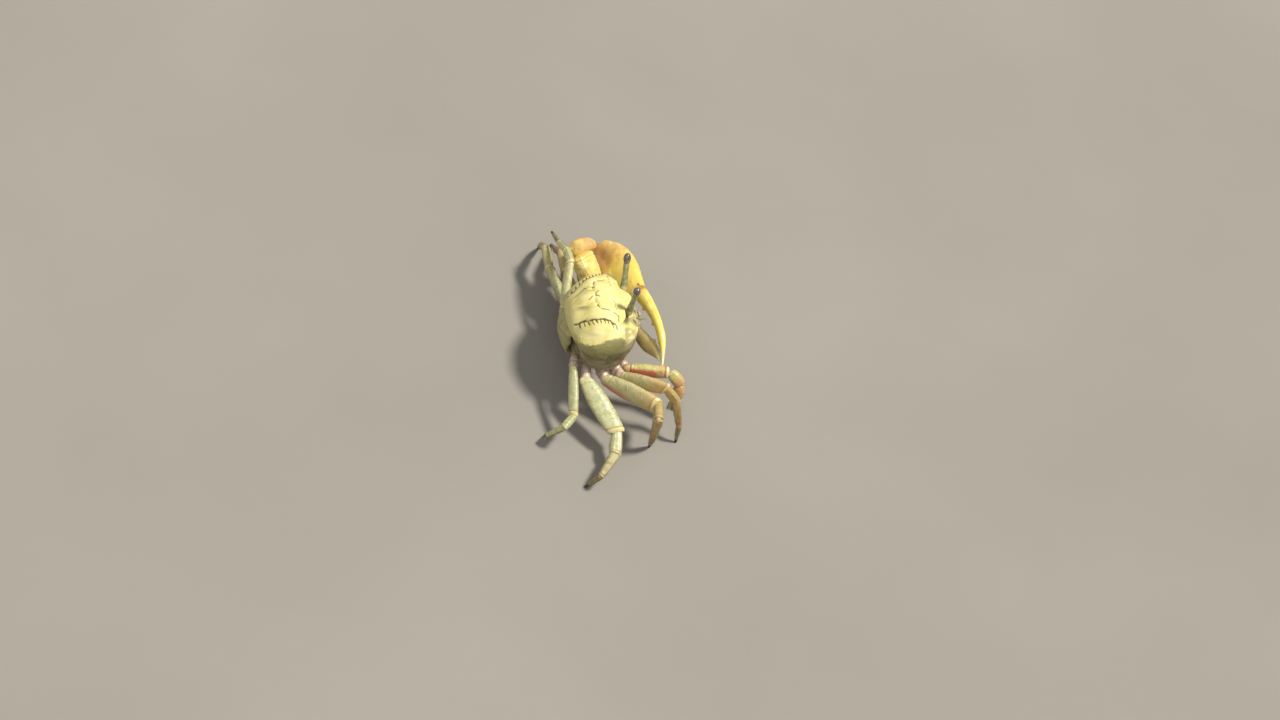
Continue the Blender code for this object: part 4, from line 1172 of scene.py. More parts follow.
# Places along the palm, from the wrist: the movable finger's hinge and the fixed finger's tip.
HINGE_AT = 84.0
PALM_TIP = 161.5
TOOTH_PITCH = 3.3

arm_finish = shell_finish(
    "claw_arm_shell", (0.74, 0.58, 0.17), (0.6, 0.43, 0.1), (0.84, 0.7, 0.28),
    layers=(
        ("warm", (0.6, 0.28, 0.07), 0.85, 0.7), ("brown", (0.22, 0.12, 0.05), 0.8, 0.6),
        ("pale", (0.86, 0.8, 0.6), 0.9, 0.5),
    ),
    mottle=800.0, grain_height=0.7, pits=-0.35, pit_scale=3400.0, rough=(0.24, 0.42), coat=0.25,
)
palm_finish = shell_finish(
    "claw_palm_shell", (0.76, 0.5, 0.14), (0.64, 0.38, 0.09), (0.86, 0.64, 0.24),
    layers=(
        # The hollow layer is painted shade on the palm and the wrist's own mauve-brown; the tan layer is the
        # fixed finger's duller colour, partly painted shade.
        ("yellow", (0.8, 0.6, 0.11), 0.92, 0.5), ("hollow", (0.58, 0.34, 0.16), 0.6, 0.6),
        ("tan", (0.44, 0.36, 0.17), 0.8, 0.8), ("brown", (0.17, 0.08, 0.03), 0.85, 0.4),
        ("pale", (0.9, 0.82, 0.6), 0.85, 0.35),
    ),
    mottle=650.0, grain_height=0.7, pits=-0.3, pit_scale=3000.0, rough=(0.22, 0.4), coat=0.3,
)
finger_finish = shell_finish(
    "claw_finger_shell", (0.88, 0.7, 0.15), (0.8, 0.58, 0.1), (0.92, 0.79, 0.26),
    layers=(
        ("warm", (0.66, 0.34, 0.08), 0.8, 0.6), ("brown", (0.2, 0.1, 0.03), 0.85, 0.4),
        ("pale", (0.92, 0.86, 0.62), 0.9, 0.3),
    ),
    mottle=600.0, grain_height=0.55, rough=(0.2, 0.36), coat=0.35,
)


def arm_grid(start, end, up, depths, widths, rows, cols):
    """Rings of a thick limb piece whose depth and width are listed from end to end."""
    run = unit(end - start)
    up = squared(up, run)
    steps = 0.5 - 0.5 * np.cos(math.pi * np.linspace(0.0, 1.0, len(depths)))
    t = 0.5 - 0.5 * np.cos(math.pi * np.linspace(0.0, 1.0, rows))
    closed = 0.5 * dome(np.minimum(t, 1.0 - t), 0.06, 0.004)
    half_up, half_out = (averaged(np.interp(t, steps, sizes), 15) * closed for sizes in (depths, widths))
    line = start + (end - start) * t[:, None]
    grid = rings_about(line, up, np.cross(run, up), half_up, half_out, cols, 2.4)
    return grid, *np.meshgrid(t, around(cols), indexing="ij")


arm_run = unit(CLAW_ELBOW - CLAW_SHOULDER)
wrist_run = unit(CLAW_WRIST - CLAW_ELBOW)

grid, T, TURN = arm_grid(
    CLAW_BASE, CLAW_SHOULDER - unit(CLAW_SHOULDER - CLAW_BASE) * 3.4, np.array([0.3, 0.0, 1.0]),
    (8.0, 11.5, 12.5, 11.5, 8.0), (8.0, 11.5, 12.0, 11.0, 8.0), 110, 96,
)
knobs = bump(T, 0.86, 0.08) * np.abs(np.sin(TURN)) ** 8
seam = bump(T, 0.6, 0.025)
grid = raised(grid, 0.25 * speckle(grid, 3.0, 61) + 0.8 * knobs - 0.6 * seam)
fitted("claw_base", grid, coxa_finish, {"pale": knobs, "line": seam}, "claw_coxa")

grid, T, TURN = arm_grid(
    CLAW_SHOULDER + arm_run * 1.5, CLAW_ELBOW - arm_run * 6.0, ARM_UP,
    (8.0, 10.0, 13.0, 19.0, 26.5, 28.0, 21.0), (8.0, 11.0, 15.0, 19.0, 21.0, 20.0, 15.0), 220, 120,
)
beads = ease(0.1, 0.9, ripple(T * 66.0, 2.6)) * ease(0.08, 0.2, T) * ease(0.98, 0.9, T)
edges = (turn_from(TURN, 2.1, 0.1) + turn_from(TURN, -2.1, 0.1) + 0.6 * turn_from(TURN, 0.7, 0.09))
edges = edges * ease(0.05, 0.15, T)
seam = bump(T, 0.13, 0.012)
grains = granules(grid, 1.5, 64, 0.35)
grid = raised(
    grid,
    0.3 * speckle(grid, 5.0, 62) + edges * (0.35 + 0.55 * beads) + 0.35 * ease(0.9, 0.93, T) - 0.8 * seam
    - 0.7 * bump(T, 0.895, 0.012) + 0.45 * grains,
)
# Painted highlight: a flecked pale glint on the arm's upper face towards the elbow.
painted_glint = ease(0.2, 0.55, speckle(grid, 1.3, 65)) * bump(T, 0.78, 0.13) * turn_from(TURN, 0.3, 0.7)
fitted("claw_arm", grid, arm_finish, {
    "warm": within(0.45 * ease(0.88, 1.0, T) + 0.5 * ease(0.25, 0.05, T) + 0.25 * seam), "brown": seam * 0.7,
    "pale": within(0.9 * painted_glint + 0.6 * edges * beads),
}, "claw_merus")

grid, T, TURN = arm_grid(
    CLAW_ELBOW - wrist_run * 7.5, CLAW_WRIST - wrist_run * 3.5, CLAW_UP,
    (14.0, 19.0, 20.5, 19.0, 16.0, 10.0), (12.0, 16.0, 18.0, 17.0, 13.5, 8.0), 150, 120,
)
grains = granules(grid, 1.6, 67, 0.2)
ridge = turn_from(TURN, 1.0, 0.12) * ease(0.1, 0.4, T)
grid = raised(grid, 0.35 * speckle(grid, 5.0, 66) + 0.35 * grains + 0.4 * ridge)
fitted("claw_wrist", grid, palm_finish, {
    "yellow": 0.6 * ease(0.45, 0.0, T), "hollow": 0.35 + 0.65 * ease(-0.2, 0.5, speckle(grid, 4.0, 68)),
    "brown": 0.3 * ease(0.6, 1.0, T), "pale": 0.5 * grains, "tan": 0.0,
}, "claw_carpus")


def palm_top(along):
    palm = 8.0 + 25.0 * np.sin(0.5 * math.pi * np.minimum(1.0, along / 46.0)) ** 0.8
    palm = palm - 5.0 * ease(50.0, HINGE_AT, along)
    finger = -3.0 + 9.0 * ease(96.0, 150.0, along) - 5.5 * ease(150.0, 166.0, along)
    return palm + (finger - palm) * ease(HINGE_AT - 1.6, HINGE_AT + 0.4, along)


def palm_bottom(along):
    palm = -8.0 - 7.0 * np.sin(0.5 * math.pi * np.minimum(1.0, along / 40.0))
    return palm + 3.0 * ease(90.0, 122.0, along) + 12.0 * ease(124.0, 166.0, along) ** 1.3


def palm_thickness(along):
    palm = 8.0 + 13.0 * np.sin(math.pi * np.minimum(1.0, along / 102.0))
    return palm + (8.5 - palm) * ease(70.0, 104.0, along) - 5.5 * ease(130.0, 166.0, along)


def claw_point(along, height, out=0.0):
    """A point of the claw: along it from the wrist, up across its depth and out through its thickness."""
    along, height, out = (np.asarray(part, float)[..., None] for part in (along, height, out))
    return CLAW_WRIST + CLAW_RUN * along + CLAW_UP * height + CLAW_OUT * out


along = np.concatenate([
    2.5 + 5.5 * np.linspace(0.0, 1.0, 16)[:-1] ** 1.5, np.linspace(8.0, 80.0, 190)[:-1],
    np.linspace(80.0, 86.0, 46)[:-1], np.linspace(86.0, PALM_TIP, 210),
])
top, bottom, thick = palm_top(along), palm_bottom(along), 0.5 * palm_thickness(along)
middle = 0.5 * (top + bottom)
closed = np.where(along < 8.0, 0.45 + 0.55 * along / 8.0, 1.0) * dome(PALM_TIP - along, 3.0, 0.05)
half = 0.5 * (top - bottom) * closed
palm_line = claw_point(along, middle, -0.22 * thick)
palm = rings_about(palm_line, CLAW_UP, CLAW_OUT, half, thick * closed, 150, 2.2)
S, TURN = np.meshgrid(along, around(150), indexing="ij")
rise = ring_round(TURN, 2.2)[0]
H = middle[:, None] + rise * half[:, None]
inner, outer = within(np.sin(TURN)), within(-np.sin(TURN))
hollow = bump(S, 24.0, 15.0) * bump(H - 0.1 * S, 3.0, 9.0) * inner
slant_ridge = near(S, H, [(98.0, -9.0), (80.0, -6.0), (58.0, 0.5), (44.0, 6.0)], 1.3) * inner
hinge_ridge = near(S, H, [(80.5, 22.0), (79.5, 10.0), (81.0, 2.0)], 1.1) * inner
beads = 0.4 + 0.6 * ease(-0.2, 0.8, ripple(S + 0.6 * H, 2.7))
grains = granules(palm, 2.1, 71, 0.05) * outer * ease(96.0, 60.0, S)
fine_grains = granules(palm, 1.5, 72, 0.25) * ease(110.0, 80.0, S)
fine_grains = fine_grains * (0.3 + 0.7 * ease(0.4, 0.9, np.abs(rise)))
crest = turn_from(TURN, 0.0, 0.09) * ease(10.0, 24.0, S) * ease(HINGE_AT, 78.0, S)
keel = turn_from(TURN, math.pi, 0.1) * ease(10.0, 30.0, S) * ease(150.0, 120.0, S)
tooth_row = turn_from(TURN, 0.0, 0.34) * ease(85.0, 88.0, S) * ease(160.5, 156.0, S)
teeth = tooth_row * (0.25 + 0.9 * ease(0.0, 0.8, ripple(S, TOOTH_PITCH)))
big_teeth = turn_from(TURN, 0.0, 0.5) * (2.6 * bump(S, 112.0, 2.4) + 1.9 * bump(S, 139.0, 2.2))
groove = turn_from(TURN, 2.35, 0.12) * ease(92.0, 100.0, S) * ease(150.0, 138.0, S)
palm = raised(
    palm,
    0.4 * speckle(palm, 9.0, 70) - 3.0 * hollow + 1.3 * slant_ridge * beads + 0.9 * hinge_ridge * beads
    + 1.05 * (grains + 0.6 * fine_grains) + 0.6 * (crest + keel) * beads + 0.8 * teeth + big_teeth
    - 0.7 * groove,
    inside=claw_point(60.0, 8.0),
)
flecks = ease(0.55, 0.8, speckle(palm, 1.7, 74)) * ease(80.0, 50.0, S)
hinge_mark = bump(S, 80.0, 4.0) * bump(H, 24.0, 6.0) * ease(-0.2, 0.4, speckle(palm, 2.5, 75))
stains = ease(0.35, 0.7, speckle(palm, 6.0, 76)) * ease(118.0, 145.0, S)
fitted("claw_palm", palm, palm_finish, {
    "yellow": within(ease(20.0, 62.0, S) * 0.9 + 0.3 * ease(0.3, -0.4, rise)),
    # Painted shade: the palm's inner hollow and its inner face near the wrist.
    "hollow": within(1.2 * hollow + 0.35 * inner * ease(46.0, 10.0, S)),
    # The brown is the hinge's dark mark, stains, and painted shade in the fixed finger's groove.
    "brown": within(0.9 * hinge_mark + 0.35 * groove + 0.6 * stains),
    # The fixed finger's duller tan is partly its own colour and partly painted shade.
    "tan": ease(84.0, 112.0, S) * ease(166.0, 150.0, S),
    "pale": within(0.4 * flecks + 0.5 * tooth_row + 0.5 * ease(148.0, 160.0, S)),
}, "claw_manus")

# The movable finger: out from the hinge, then down in a hook to meet the fixed finger's tip.
t = np.concatenate([np.linspace(-0.05, 0.04, 30)[:-1], np.linspace(0.04, 1.0, 300)])
line = claw_point(
    HINGE_AT + 2.2 + 83.8 * t - 2.0 * t**4,
    20.5 + 5.0 * np.sin(math.pi * 0.62 * t) - 25.5 * np.maximum(t, 0.0) ** 2.6,
)
up = unit(np.cross(CLAW_OUT, unit(np.gradient(line, t, axis=0))))
half = 6.8 * (1.0 - 0.35 * ease(0.05, 0.6, t)) * (1.0 - 0.72 * ease(0.62, 1.0, t))
half = half * (1.0 + 0.14 * bump(t, 0.0, 0.1))
thick = half * (0.72 + 0.15 * t)
hook = rings_about(line, up[:, None], CLAW_OUT, half * dome(1.0 - t, 0.03, 0.08), thick, 110, 2.2)
T, TURN = np.meshgrid(t, around(110), indexing="ij")
tooth_row = turn_from(TURN, math.pi, 0.32) * ease(0.03, 0.07, T) * ease(0.99, 0.94, T)
teeth = tooth_row * (0.25 + 0.9 * ease(0.0, 0.8, ripple(T * 26.0, 1.0)))
big_teeth = turn_from(TURN, math.pi, 0.5) * (
    2.2 * bump(T, 0.2, 0.022) + 2.4 * bump(T, 0.47, 0.024) + 1.3 * bump(T, 0.74, 0.02)
)
grooves = (turn_from(TURN, 0.8, 0.11) + turn_from(TURN, -0.8, 0.11)) * ease(0.03, 0.1, T) * ease(0.7, 0.45, T)
grains = granules(hook, 1.5, 81, 0.15) * ease(0.3, 0.05, T) * ease(-0.2, 0.5, np.cos(TURN))
hook = raised(hook, 0.25 * speckle(hook, 6.0, 80) + 0.8 * teeth + big_teeth - 0.35 * grooves + 0.8 * grains)
fitted("claw_finger", hook, finger_finish, {
    "warm": 0.7 * ease(0.14, 0.0, T) + 0.25 * grooves,
    "brown": 0.6 * ease(0.05, 0.0, T) + 0.15 * ease(0.5, 0.8, speckle(hook, 3.0, 83)),
    "pale": within(0.85 * tooth_row + 0.65 * ease(0.7, 1.0, T)),
}, "claw_dactyl")

joint_skin("claw_joint_skin", [
    (CLAW_SHOULDER, arm_run, ROOM_UP, 3.6, 3.6),
    (CLAW_ELBOW - arm_run * 9.0 + wrist_run * 0.5, unit(arm_run + wrist_run), ARM_UP, 7.2, 6.6),
    (CLAW_WRIST - wrist_run * 3.0, unit(wrist_run + CLAW_RUN), CLAW_UP, 4.2, 3.4),
    (claw_point(HINGE_AT + 1.0, 20.0), CLAW_RUN, CLAW_UP, 4.6, 3.4),
    (CLAW_BASE - np.array([0.0, 1.5, 0.0]), np.array([0.0, 1.0, 0.0]), ROOM_UP, 4.0, 4.0),
])


# ---- Small feeding claw ----
# The right claw is slight: an arm folded forward, a thumb-like wrist and a narrow hand whose two
# fingers end in hollowed spoons that scrape food from the mud.

BASE = np.array([7.5, -27.5, -54.0])
HIP = np.array([12.4, -37.5, -53.0])
ELBOW = HIP + (43.0, -12.0, 4.5)
WRIST = ELBOW + (10.0, -6.0, -9.5)
HAND_END = WRIST + (-1.5, -1.5, -17.0)
FIXED_TIP = HAND_END + (-5.5, 3.0, -17.5)
# Places along the hand, the fixed finger and the movable finger: share of the way, half depth, half width.
HAND_SIZES = ((0.0, 4.0, 3.4), (0.25, 5.6, 4.4), (0.6, 6.2, 4.6), (0.85, 5.6, 4.2))
FIXED_SIZES = ((0.1, 2.6, 3.2), (0.35, 2.2, 2.8), (0.7, 1.8, 2.4), (1.0, 1.2, 1.5))
MOVABLE_SIZES = ((0.0, 1.7, 2.2), (0.08, 2.3, 3.0), (0.35, 2.1, 2.7), (0.7, 1.7, 2.3), (1.0, 1.15, 1.4))

feeder_finish = shell_finish(
    "feeder_arm_shell", (0.5, 0.46, 0.16), (0.38, 0.34, 0.1), (0.62, 0.56, 0.24),
    layers=(
        ("crimson", (0.58, 0.12, 0.085), 0.92, 0.7), ("warm", (0.58, 0.3, 0.15), 0.85, 0.7),
        ("line", (0.5, 0.16, 0.05), 0.8, 0.3), ("pale", (0.8, 0.72, 0.46), 0.9, 0.3),
    ),
    mottle=1000.0, grain_height=0.7, rough=(0.25, 0.42), coat=0.25,
)


def between(start, end, trim_start, trim_end):
    run = unit(end - start)
    return start + run * trim_start, end - run * trim_end


def feeder_piece(name, grid, crimson, warm, line, pale, node):
    values = {"crimson": crimson, "warm": warm, "line": line, "pale": pale}
    fitted(name, grid, feeder_finish, values, node)


grid, T, TURN = arm_grid(
    *between(BASE, HIP, 0.6, 2.6), ROOM_UP, (8.0, 10.5, 10.5, 7.5), (7.0, 9.0, 9.0, 7.0), 80, 72
)
seam = bump(T, 0.55, 0.04)
# The pale value paints a highlight along the feeder base's top.
fitted(
    "feeder_base", raised(grid, 0.2 * speckle(grid, 2.5, 91) - 0.5 * seam), coxa_finish,
    {"pale": 0.6 * ease(0.3, 0.9, np.cos(TURN)), "line": seam}, "feeder_coxa",
)

grid, T, TURN = arm_grid(
    *between(HIP, ELBOW, 1.4, 1.2), ROOM_UP,
    (7.0, 11.5, 13.5, 13.5, 12.5, 8.0), (6.0, 9.0, 10.5, 10.5, 10.0, 6.5), 170, 84,
)
collar = ease(0.895, 0.915, T) * ease(0.99, 0.95, T)
ring = bump(T, 0.872, 0.014)
relief = 0.22 * speckle(grid, 3.0, 92) + 0.12 * speckle(grid, 1.1, 93)
grid = raised(grid, relief + 0.35 * collar - 0.7 * ring - 0.6 * bump(T, 0.12, 0.014))
crimson = ease(0.0, 0.75, np.cos(TURN - 2.2)) * ease(0.86, 0.55, T)
feeder_piece("feeder_arm", grid, crimson, 0.4 * ease(0.5, 0.85, T) + 0.15, ring, 0.7 * collar, "feeder_merus")

grid, T, TURN = arm_grid(
    *between(ELBOW, WRIST, -1.2, -0.8), np.array([1.0, 0.0, 1.0]),
    (9.0, 12.5, 13.0, 10.0), (8.0, 10.0, 10.5, 8.5), 100, 84,
)
grid = raised(grid, 0.2 * speckle(grid, 3.0, 94) + 0.4 * granules(grid, 1.2, 95, 0.3))
crimson, warm = 0.25 * ease(0.5, 1.0, T), 0.25 + 0.75 * ease(0.35, 0.9, T)
feeder_piece("feeder_wrist", grid, crimson, warm, 0.0, 0.6 * ease(0.1, 0.03, T), "feeder_carpus")

hand_start, hand_end = between(WRIST, HAND_END, 1.2, 0.0)
hand_run = unit(hand_end - hand_start)
hand_up = squared(np.array([1.0, -0.3, 0.0]), hand_run)
hand_out = np.cross(hand_run, hand_up)


def stations(start, end, sizes, bow=0.0):
    """Places on a line, or a low arc over it, each with its half depth and half width."""
    return [
        (*(start + (end - start) * s + hand_up * bow * math.sin(math.pi * s)), deep, wide)
        for s, deep, wide in sizes
    ]


def spooned(rows, count, spoon_side):
    """Rings along a path of the hand, and the hollow of the spoon at its end."""
    rows, share = smooth_path(rows, count)
    grid = rings_about(rows[:, :3], hand_up, hand_out, rows[:, 3], rows[:, 4], 84, 2.2)
    S, TURN = np.meshgrid(share, around(84), indexing="ij")
    return grid, S, TURN, turn_from(TURN, spoon_side, 0.8) * ease(1.01, 0.98, S)


hand_rows = stations(hand_start, hand_end, HAND_SIZES)
hand_rows += stations(hand_end - hand_up * 2.9, FIXED_TIP, FIXED_SIZES)
hand, S, TURN, spoon = spooned(hand_rows, 150, 0.0)
hand = raised(
    hand,
    0.18 * speckle(hand, 2.6, 96) - 0.7 * spoon * ease(0.8, 0.93, S)
    + 0.3 * turn_from(TURN, math.pi, 0.2) * ease(0.1, 0.3, S),
)
warm = 0.5 * ease(0.6, 0.1, S) + 0.25
feeder_piece("feeder_hand", hand, 0.3 * ease(0.3, 0.0, S), warm, 0.0, ease(0.7, 1.0, S), "feeder_manus")

finger_start = hand_end + hand_up * 3.0 + hand_run * 0.6
finger_rows = stations(finger_start, FIXED_TIP + hand_up * 3.4, MOVABLE_SIZES, 0.8)
finger, S, TURN, spoon = spooned(finger_rows, 120, math.pi)
finger = raised(finger, 0.15 * speckle(finger, 2.4, 97) - 0.6 * spoon * ease(0.75, 0.9, S))
warm, pale = 0.3 * ease(0.5, 0.0, S), 0.35 + 0.6 * ease(0.5, 1.0, S)
feeder_piece("feeder_finger", finger, 0.0, warm, 0.0, pale, "feeder_dactyl")

FEEDER_SKIN_UP = ROOM_UP + np.array([0.3, 0.0, 0.0])
joint_skin("feeder_joint_skin", [
    (BASE - np.array([0.0, -1.0, 0.0]), unit(HIP - BASE), FEEDER_SKIN_UP, 4.6, 4.2),
    (HIP, unit(ELBOW - BASE), FEEDER_SKIN_UP, 5.2, 4.2),
    (ELBOW, unit(WRIST - HIP), FEEDER_SKIN_UP, 3.4, 2.8),
    (WRIST, unit(HAND_END - ELBOW), FEEDER_SKIN_UP, 3.2, 2.6),
    (hand_end + hand_up * 2.6, hand_run, FEEDER_SKIN_UP, 1.9, 2.2),
])


# ---- Bristles ----
# Short stiff hairs that hold mud and water: a stubble on the side walls, fringes along the legs' edges,
# brushes between the leg bases, and combs on the mouth plates and the small claw's spoons.

# Where each outer leg piece's fringe begins round it, and its count of hairs.
LEG_FRINGES = {"merus": (0.93, 110), "carpus": (0.85, 90), "propodus": (0.8, 230), "dactyl": (0.7, 170)}
# One hair: a ring of three points at its root, three half way and its tip, and how far out each stands.
HAIR_TURNS = (0.0, 2.1, 4.2)
HAIR_FACES = np.array([
    (0, 1, 4), (0, 4, 3), (1, 2, 5), (1, 5, 4), (2, 0, 3), (2, 3, 5), (3, 4, 6), (4, 5, 6), (5, 3, 6),
])
HAIR_UNWRAP = np.array([(0, 0), (1, 0), (2, 0), (0, 1), (1, 1), (2, 1), (1, 2)]) * 0.0014 - 0.0014
HAIR_REACH = np.array([0.0, 0.0, 0.0, 0.55, 0.55, 0.55, 1.0])

chance = np.random.default_rng(11)


def rooted(grid, weight, count, place, share=(0.0, 1.0)):
    """Random roots on a grid: place in the room, outward direction, direction along, place on its unwrap."""
    normal = facing(grid)
    sign = np.sign(np.sum((grid - grid.mean(axis=(0, 1))) * normal, axis=-1).sum())
    cell = np.linalg.norm(np.cross(np.gradient(grid, axis=0), np.roll(grid, -1, 1) - grid), axis=-1)
    odds = (np.broadcast_to(weight, cell.shape) * cell)[:-1].ravel()
    picked = chance.choice(len(odds), count, p=odds / odds.sum())
    rows, cols = grid.shape[:2]
    i, j = picked // cols, picked % cols
    a, b = chance.random(count), chance.random(count)
    k = (j + 1) % cols
    spot = (
        grid[i, j] * ((1 - a) * (1 - b))[:, None] + grid[i + 1, j] * (a * (1 - b))[:, None]
        + grid[i, k] * ((1 - a) * b)[:, None] + grid[i + 1, k] * (a * b)[:, None]
    )
    centre = place(np.zeros((1, 3)))
    outward = unit(place(normal[i, j] * sign) - centre)
    onward = unit(place(grid[i + 1, j] - grid[i, j]) - centre)
    across_unwrap = share[0] + (share[1] - share[0]) * (0.003 + 0.99 * (j + b) / cols)
    return place(spot), outward, onward, np.stack([across_unwrap, 0.003 + 0.99 * (i + a) / rows], -1)


def portion(number, groups):
    """One group's strip of the unwrap, among all that share it."""
    return number / len(groups), (number + 1) / len(groups)


def bristles(name, roots, length, thick, lean, finish):
    """Three-sided tapering hairs that stand out of the shell and bend the way they lean."""
    spots, outward, onward, unwrap = (np.concatenate(part) for part in zip(*roots))
    count = len(spots)
    long = (length[0] + (length[1] - length[0]) * chance.random(count) ** 1.5) * U
    stand = unit(outward + 0.28 * chance.normal(size=(count, 3)) + lean[0] * onward)
    tip = unit(stand + lean[1] * onward + np.array([0.0, 0.0, -lean[2]]))
    middle = spots + stand * (0.55 * long)[:, None]
    across = unit(np.cross(stand, onward + 0.01))
    beside = np.cross(stand, across)
    points = [
        centre + (across * math.cos(turn) + beside * math.sin(turn)) * half
        for centre, half in ((spots - stand * (0.08 * long)[:, None], thick * U), (middle, 0.7 * thick * U))
        for turn in HAIR_TURNS
    ]
    points = np.stack([*points, middle + tip * (0.45 * long)[:, None]], 1).reshape(-1, 3)
    triangles = (HAIR_FACES + 7 * np.arange(count)[:, None, None]).reshape(-1, 3)
    piece = make_mesh(
        name, points, np.zeros((0, 4), int), triangles, finish,
        {"tip": np.tile(HAIR_REACH, count), "shade": np.repeat(chance.random(count), 7)},
    )
    layer = piece.data.uv_layers.new(name="OFBake")
    corners = np.zeros(len(piece.data.loops), np.int32)
    piece.data.loops.foreach_get("vertex_index", corners)
    spread = (unwrap[:, None] + HAIR_UNWRAP).reshape(-1, 2)
    layer.data.foreach_set("uv", spread[corners].astype(np.float32).ravel())
    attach(piece, "root")


bristle_finish = shell_finish(
    "bristles", (0.28, 0.22, 0.13), (0.18, 0.135, 0.075), (0.42, 0.35, 0.22),
    layers=(("tip", (0.42, 0.34, 0.2), 0.7, 0.2), ("shade", (0.1, 0.07, 0.035), 0.6, 0.3)),
    mottle=2500.0, rough=(0.4, 0.6),
)
pale_bristle_finish = shell_finish(
    "pale_bristles", (0.42, 0.36, 0.22), (0.3, 0.25, 0.14), (0.6, 0.53, 0.36),
    layers=(("tip", (0.66, 0.6, 0.44), 0.7, 0.2), ("shade", (0.24, 0.19, 0.1), 0.5, 0.3)),
    mottle=2500.0, rough=(0.4, 0.6),
)

on_wall = ease(0.98, 1.25, down) * ease(2.06, 1.9, down) * (0.35 + 0.65 * ease(0.7, 1.1, turned_by))
on_wall = on_wall * ease(-0.6, 0.3, speckle(shell_grid, 6.0, 140)) * ease(2.75, 2.45, turned_by)
on_hem = bump(down, 1.97, 0.035) * ease(0.45, 0.7, turned_by) * ease(2.6, 2.3, turned_by)
bristles(
    "wall_stubble", [rooted(shell_grid, on_wall, 6500, room)], (0.7, 1.9), 0.09, (0.5, 0.6, 0.2),
    bristle_finish,
)
bristles(
    "hem_fringe", [rooted(shell_grid, on_hem + 1e-9, 2600, room)], (1.6, 3.6), 0.1, (0.7, 0.8, 0.4),
    pale_bristle_finish,
)

leg_roots, base_roots = [], []
for number, ((name, part), (grid, T, TURN)) in enumerate(leg_surfaces.items()):
    upper = np.cos(TURN)
    share = portion(number, leg_surfaces)
    if part == "coxa":
        weight = ease(0.2, -0.4, upper) * ease(0.1, 0.3, T) + 0.05
        base_roots.append(rooted(grid, weight, 150, from_standing, share))
        continue
    begins, count = LEG_FRINGES[part]
    edges = ease(begins, 1.0, -upper) + 0.7 * ease(begins, 1.0, upper) + 0.015
    ends = ease(0.08, 0.2, T) * (ease(0.78, 0.66, T) if part == "dactyl" else ease(0.98, 0.92, T))
    leg_roots.append(rooted(grid, edges * ends, count, from_standing, share))
bristles("leg_fringes", leg_roots, (0.8, 2.0), 0.08, (0.8, 0.7, 0.1), bristle_finish)
bristles("base_brushes", base_roots, (1.2, 3.0), 0.09, (0.3, 0.4, 0.3), pale_bristle_finish)

door_roots = [
    rooted(plate, edge_weight, 300, room, portion(number, door_fringes))
    for number, (plate, edge_weight) in enumerate(door_fringes)
]
bristles("mouth_combs", door_roots, (1.2, 3.0), 0.09, (0.2, 0.3, 0.5), pale_bristle_finish)

spoon_roots = [
    rooted(piece, ease(*ends, np.linspace(0, 1, len(piece)))[:, None] + 0.02, 320, room, share)
    for piece, ends, share in ((hand, (0.72, 0.9), (0.0, 0.5)), (finger, (0.6, 0.85), (0.5, 1.0)))
]
bristles(
    "spoon_combs", spoon_roots, (1.0, 2.6), 0.08, (0.9, 0.8, 0.2), pale_bristle_finish
)
tail_edge = ease(0.8, 1.0, np.abs(np.sin(around(96)))) + 0.02
bristles(
    "tail_fringe", [rooted(tail, tail_edge * ease(0.02, 0.08, tail_share)[:, None], 1100, room)], (0.8, 2.0),
    0.08, (0.6, 0.6, 0.1), pale_bristle_finish,
)


# ---- Camera, floor and light ----
# The camera looks down from the crab's right and a little behind; a pale floor and soft lights surround it.

VIEW_RIGHT = turned((0.972, -0.175, 0.159))
VIEW_UP = turned((-0.003, 0.662, 0.749))
VIEW_BACK = turned((-0.237, -0.729, 0.643))
LENS, SENSOR = 100.0, 36.0
VIEW_WIDTH = 1280.0 * U
FLOOR_COLUMNS = 96
# The floor lies flat to two metres out and then turns up all round into a wall.
FLAT_REACH, BEND, WALL_TOP = 2.0, 1.5, 2.4

aim = room((0.0, 0.0, 0.0)) + (24.3 * VIEW_RIGHT - 56.5 * VIEW_UP) * U
lens = bpy.data.cameras.new("camera")
lens.lens, lens.sensor_width, lens.sensor_fit = LENS, SENSOR, "HORIZONTAL"
lens.clip_start, lens.clip_end = 0.01, 20.0
camera = bpy.data.objects.new("camera", lens)
bpy.context.scene.collection.objects.link(camera)
camera.location = Vector(aim + VIEW_BACK * (VIEW_WIDTH * LENS / SENSOR))
axes = Matrix([list(unit(VIEW_RIGHT)), list(unit(VIEW_UP)), list(unit(VIEW_BACK))]).transposed()
camera.rotation_mode = "QUATERNION"
camera.rotation_quaternion = axes.to_quaternion()
bpy.context.scene.camera = camera

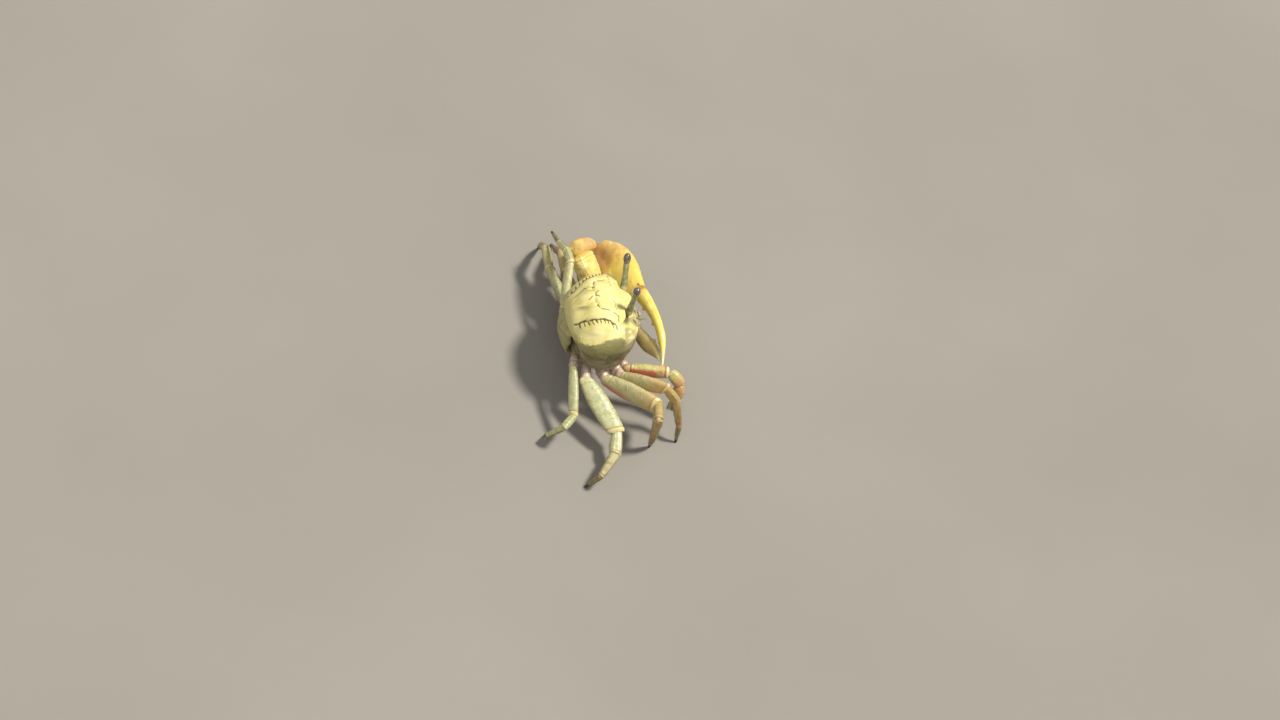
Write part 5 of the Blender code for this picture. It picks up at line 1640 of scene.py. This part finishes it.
floor_rows = [(0.02, 0.0), (0.5, 0.0), (FLAT_REACH, 0.0)]
floor_rows += [
    (FLAT_REACH + BEND * math.sin(a), BEND - BEND * math.cos(a)) for a in np.linspace(0.1, 0.5 * math.pi, 16)
]
floor_rows += [(FLAT_REACH + BEND, WALL_TOP)]
spots = [(r * math.cos(a), r * math.sin(a), z) for r, z in floor_rows for a in around(FLOOR_COLUMNS)]
floor_faces = []
for i in range(len(floor_rows) - 1):
    for j in range(FLOOR_COLUMNS):
        a, b = FLOOR_COLUMNS * i + j, FLOOR_COLUMNS * i + (j + 1) % FLOOR_COLUMNS
        floor_faces.append((a, a + FLOOR_COLUMNS, b + FLOOR_COLUMNS, b))
floor_mesh = bpy.data.meshes.new("floor")
floor_mesh.from_pydata(spots, [], [*floor_faces, tuple(range(FLOOR_COLUMNS))])
floor_mesh.shade_smooth()
floor = bpy.data.objects.new("floor", floor_mesh)
bpy.context.scene.collection.objects.link(floor)
floor_finish = bpy.data.materials.new("floor")
floor_finish.use_nodes = True
floor_tree = floor_finish.node_tree
floor_shader = floor_tree.nodes["Principled BSDF"]
floor_place = add_node(floor_tree, "ShaderNodeTexCoord").outputs["Object"]
floor_cloud = add_node(floor_tree, "ShaderNodeTexNoise", {"Vector": floor_place, "Scale": 9.0, "Detail": 6.0})
floor_ramp = add_node(floor_tree, "ShaderNodeValToRGB", {"Fac": floor_cloud.outputs["Fac"]})
stops = zip(floor_ramp.color_ramp.elements, (0.3, 0.7), ((0.25, 0.232, 0.205), (0.285, 0.267, 0.236)))
for stop, position, colour in stops:
    stop.position, stop.color = position, (*colour, 1.0)
floor_tree.links.new(floor_ramp.outputs["Color"], floor_shader.inputs["Base Color"])
floor_shader.inputs["Roughness"].default_value = 0.85
floor_mesh.materials.append(floor_finish)

bpy.context.scene.view_settings.view_transform = "Standard"
world = bpy.data.worlds.new("studio")
bpy.context.scene.world = world
world.use_nodes = True
world.node_tree.nodes["Background"].inputs["Color"].default_value = (0.93, 0.96, 1.0, 1.0)
world.node_tree.nodes["Background"].inputs["Strength"].default_value = 0.42


def far_light(name, away, spread, strength, colour):
    """A light as even as the sun's, from a stated direction, and its shadows' softness in degrees."""
    lamp = bpy.data.lights.new(name, "SUN")
    lamp.angle, lamp.energy, lamp.color = math.radians(spread), strength, colour
    light = bpy.data.objects.new(name, lamp)
    bpy.context.scene.collection.objects.link(light)
    light.location = Vector(away)
    light.rotation_mode = "QUATERNION"
    light.rotation_quaternion = Vector(away).to_track_quat("Z", "Y")


far_light("key", (-0.08, -0.42, 0.9), 9.0, 4.0, (1.0, 0.95, 0.86))
far_light("fill", (-0.6, 0.2, 0.6), 50.0, 0.7, (0.9, 0.95, 1.0))
far_light("back", (-0.2, 0.6, 0.4), 40.0, 0.7, (1.0, 0.98, 0.95))
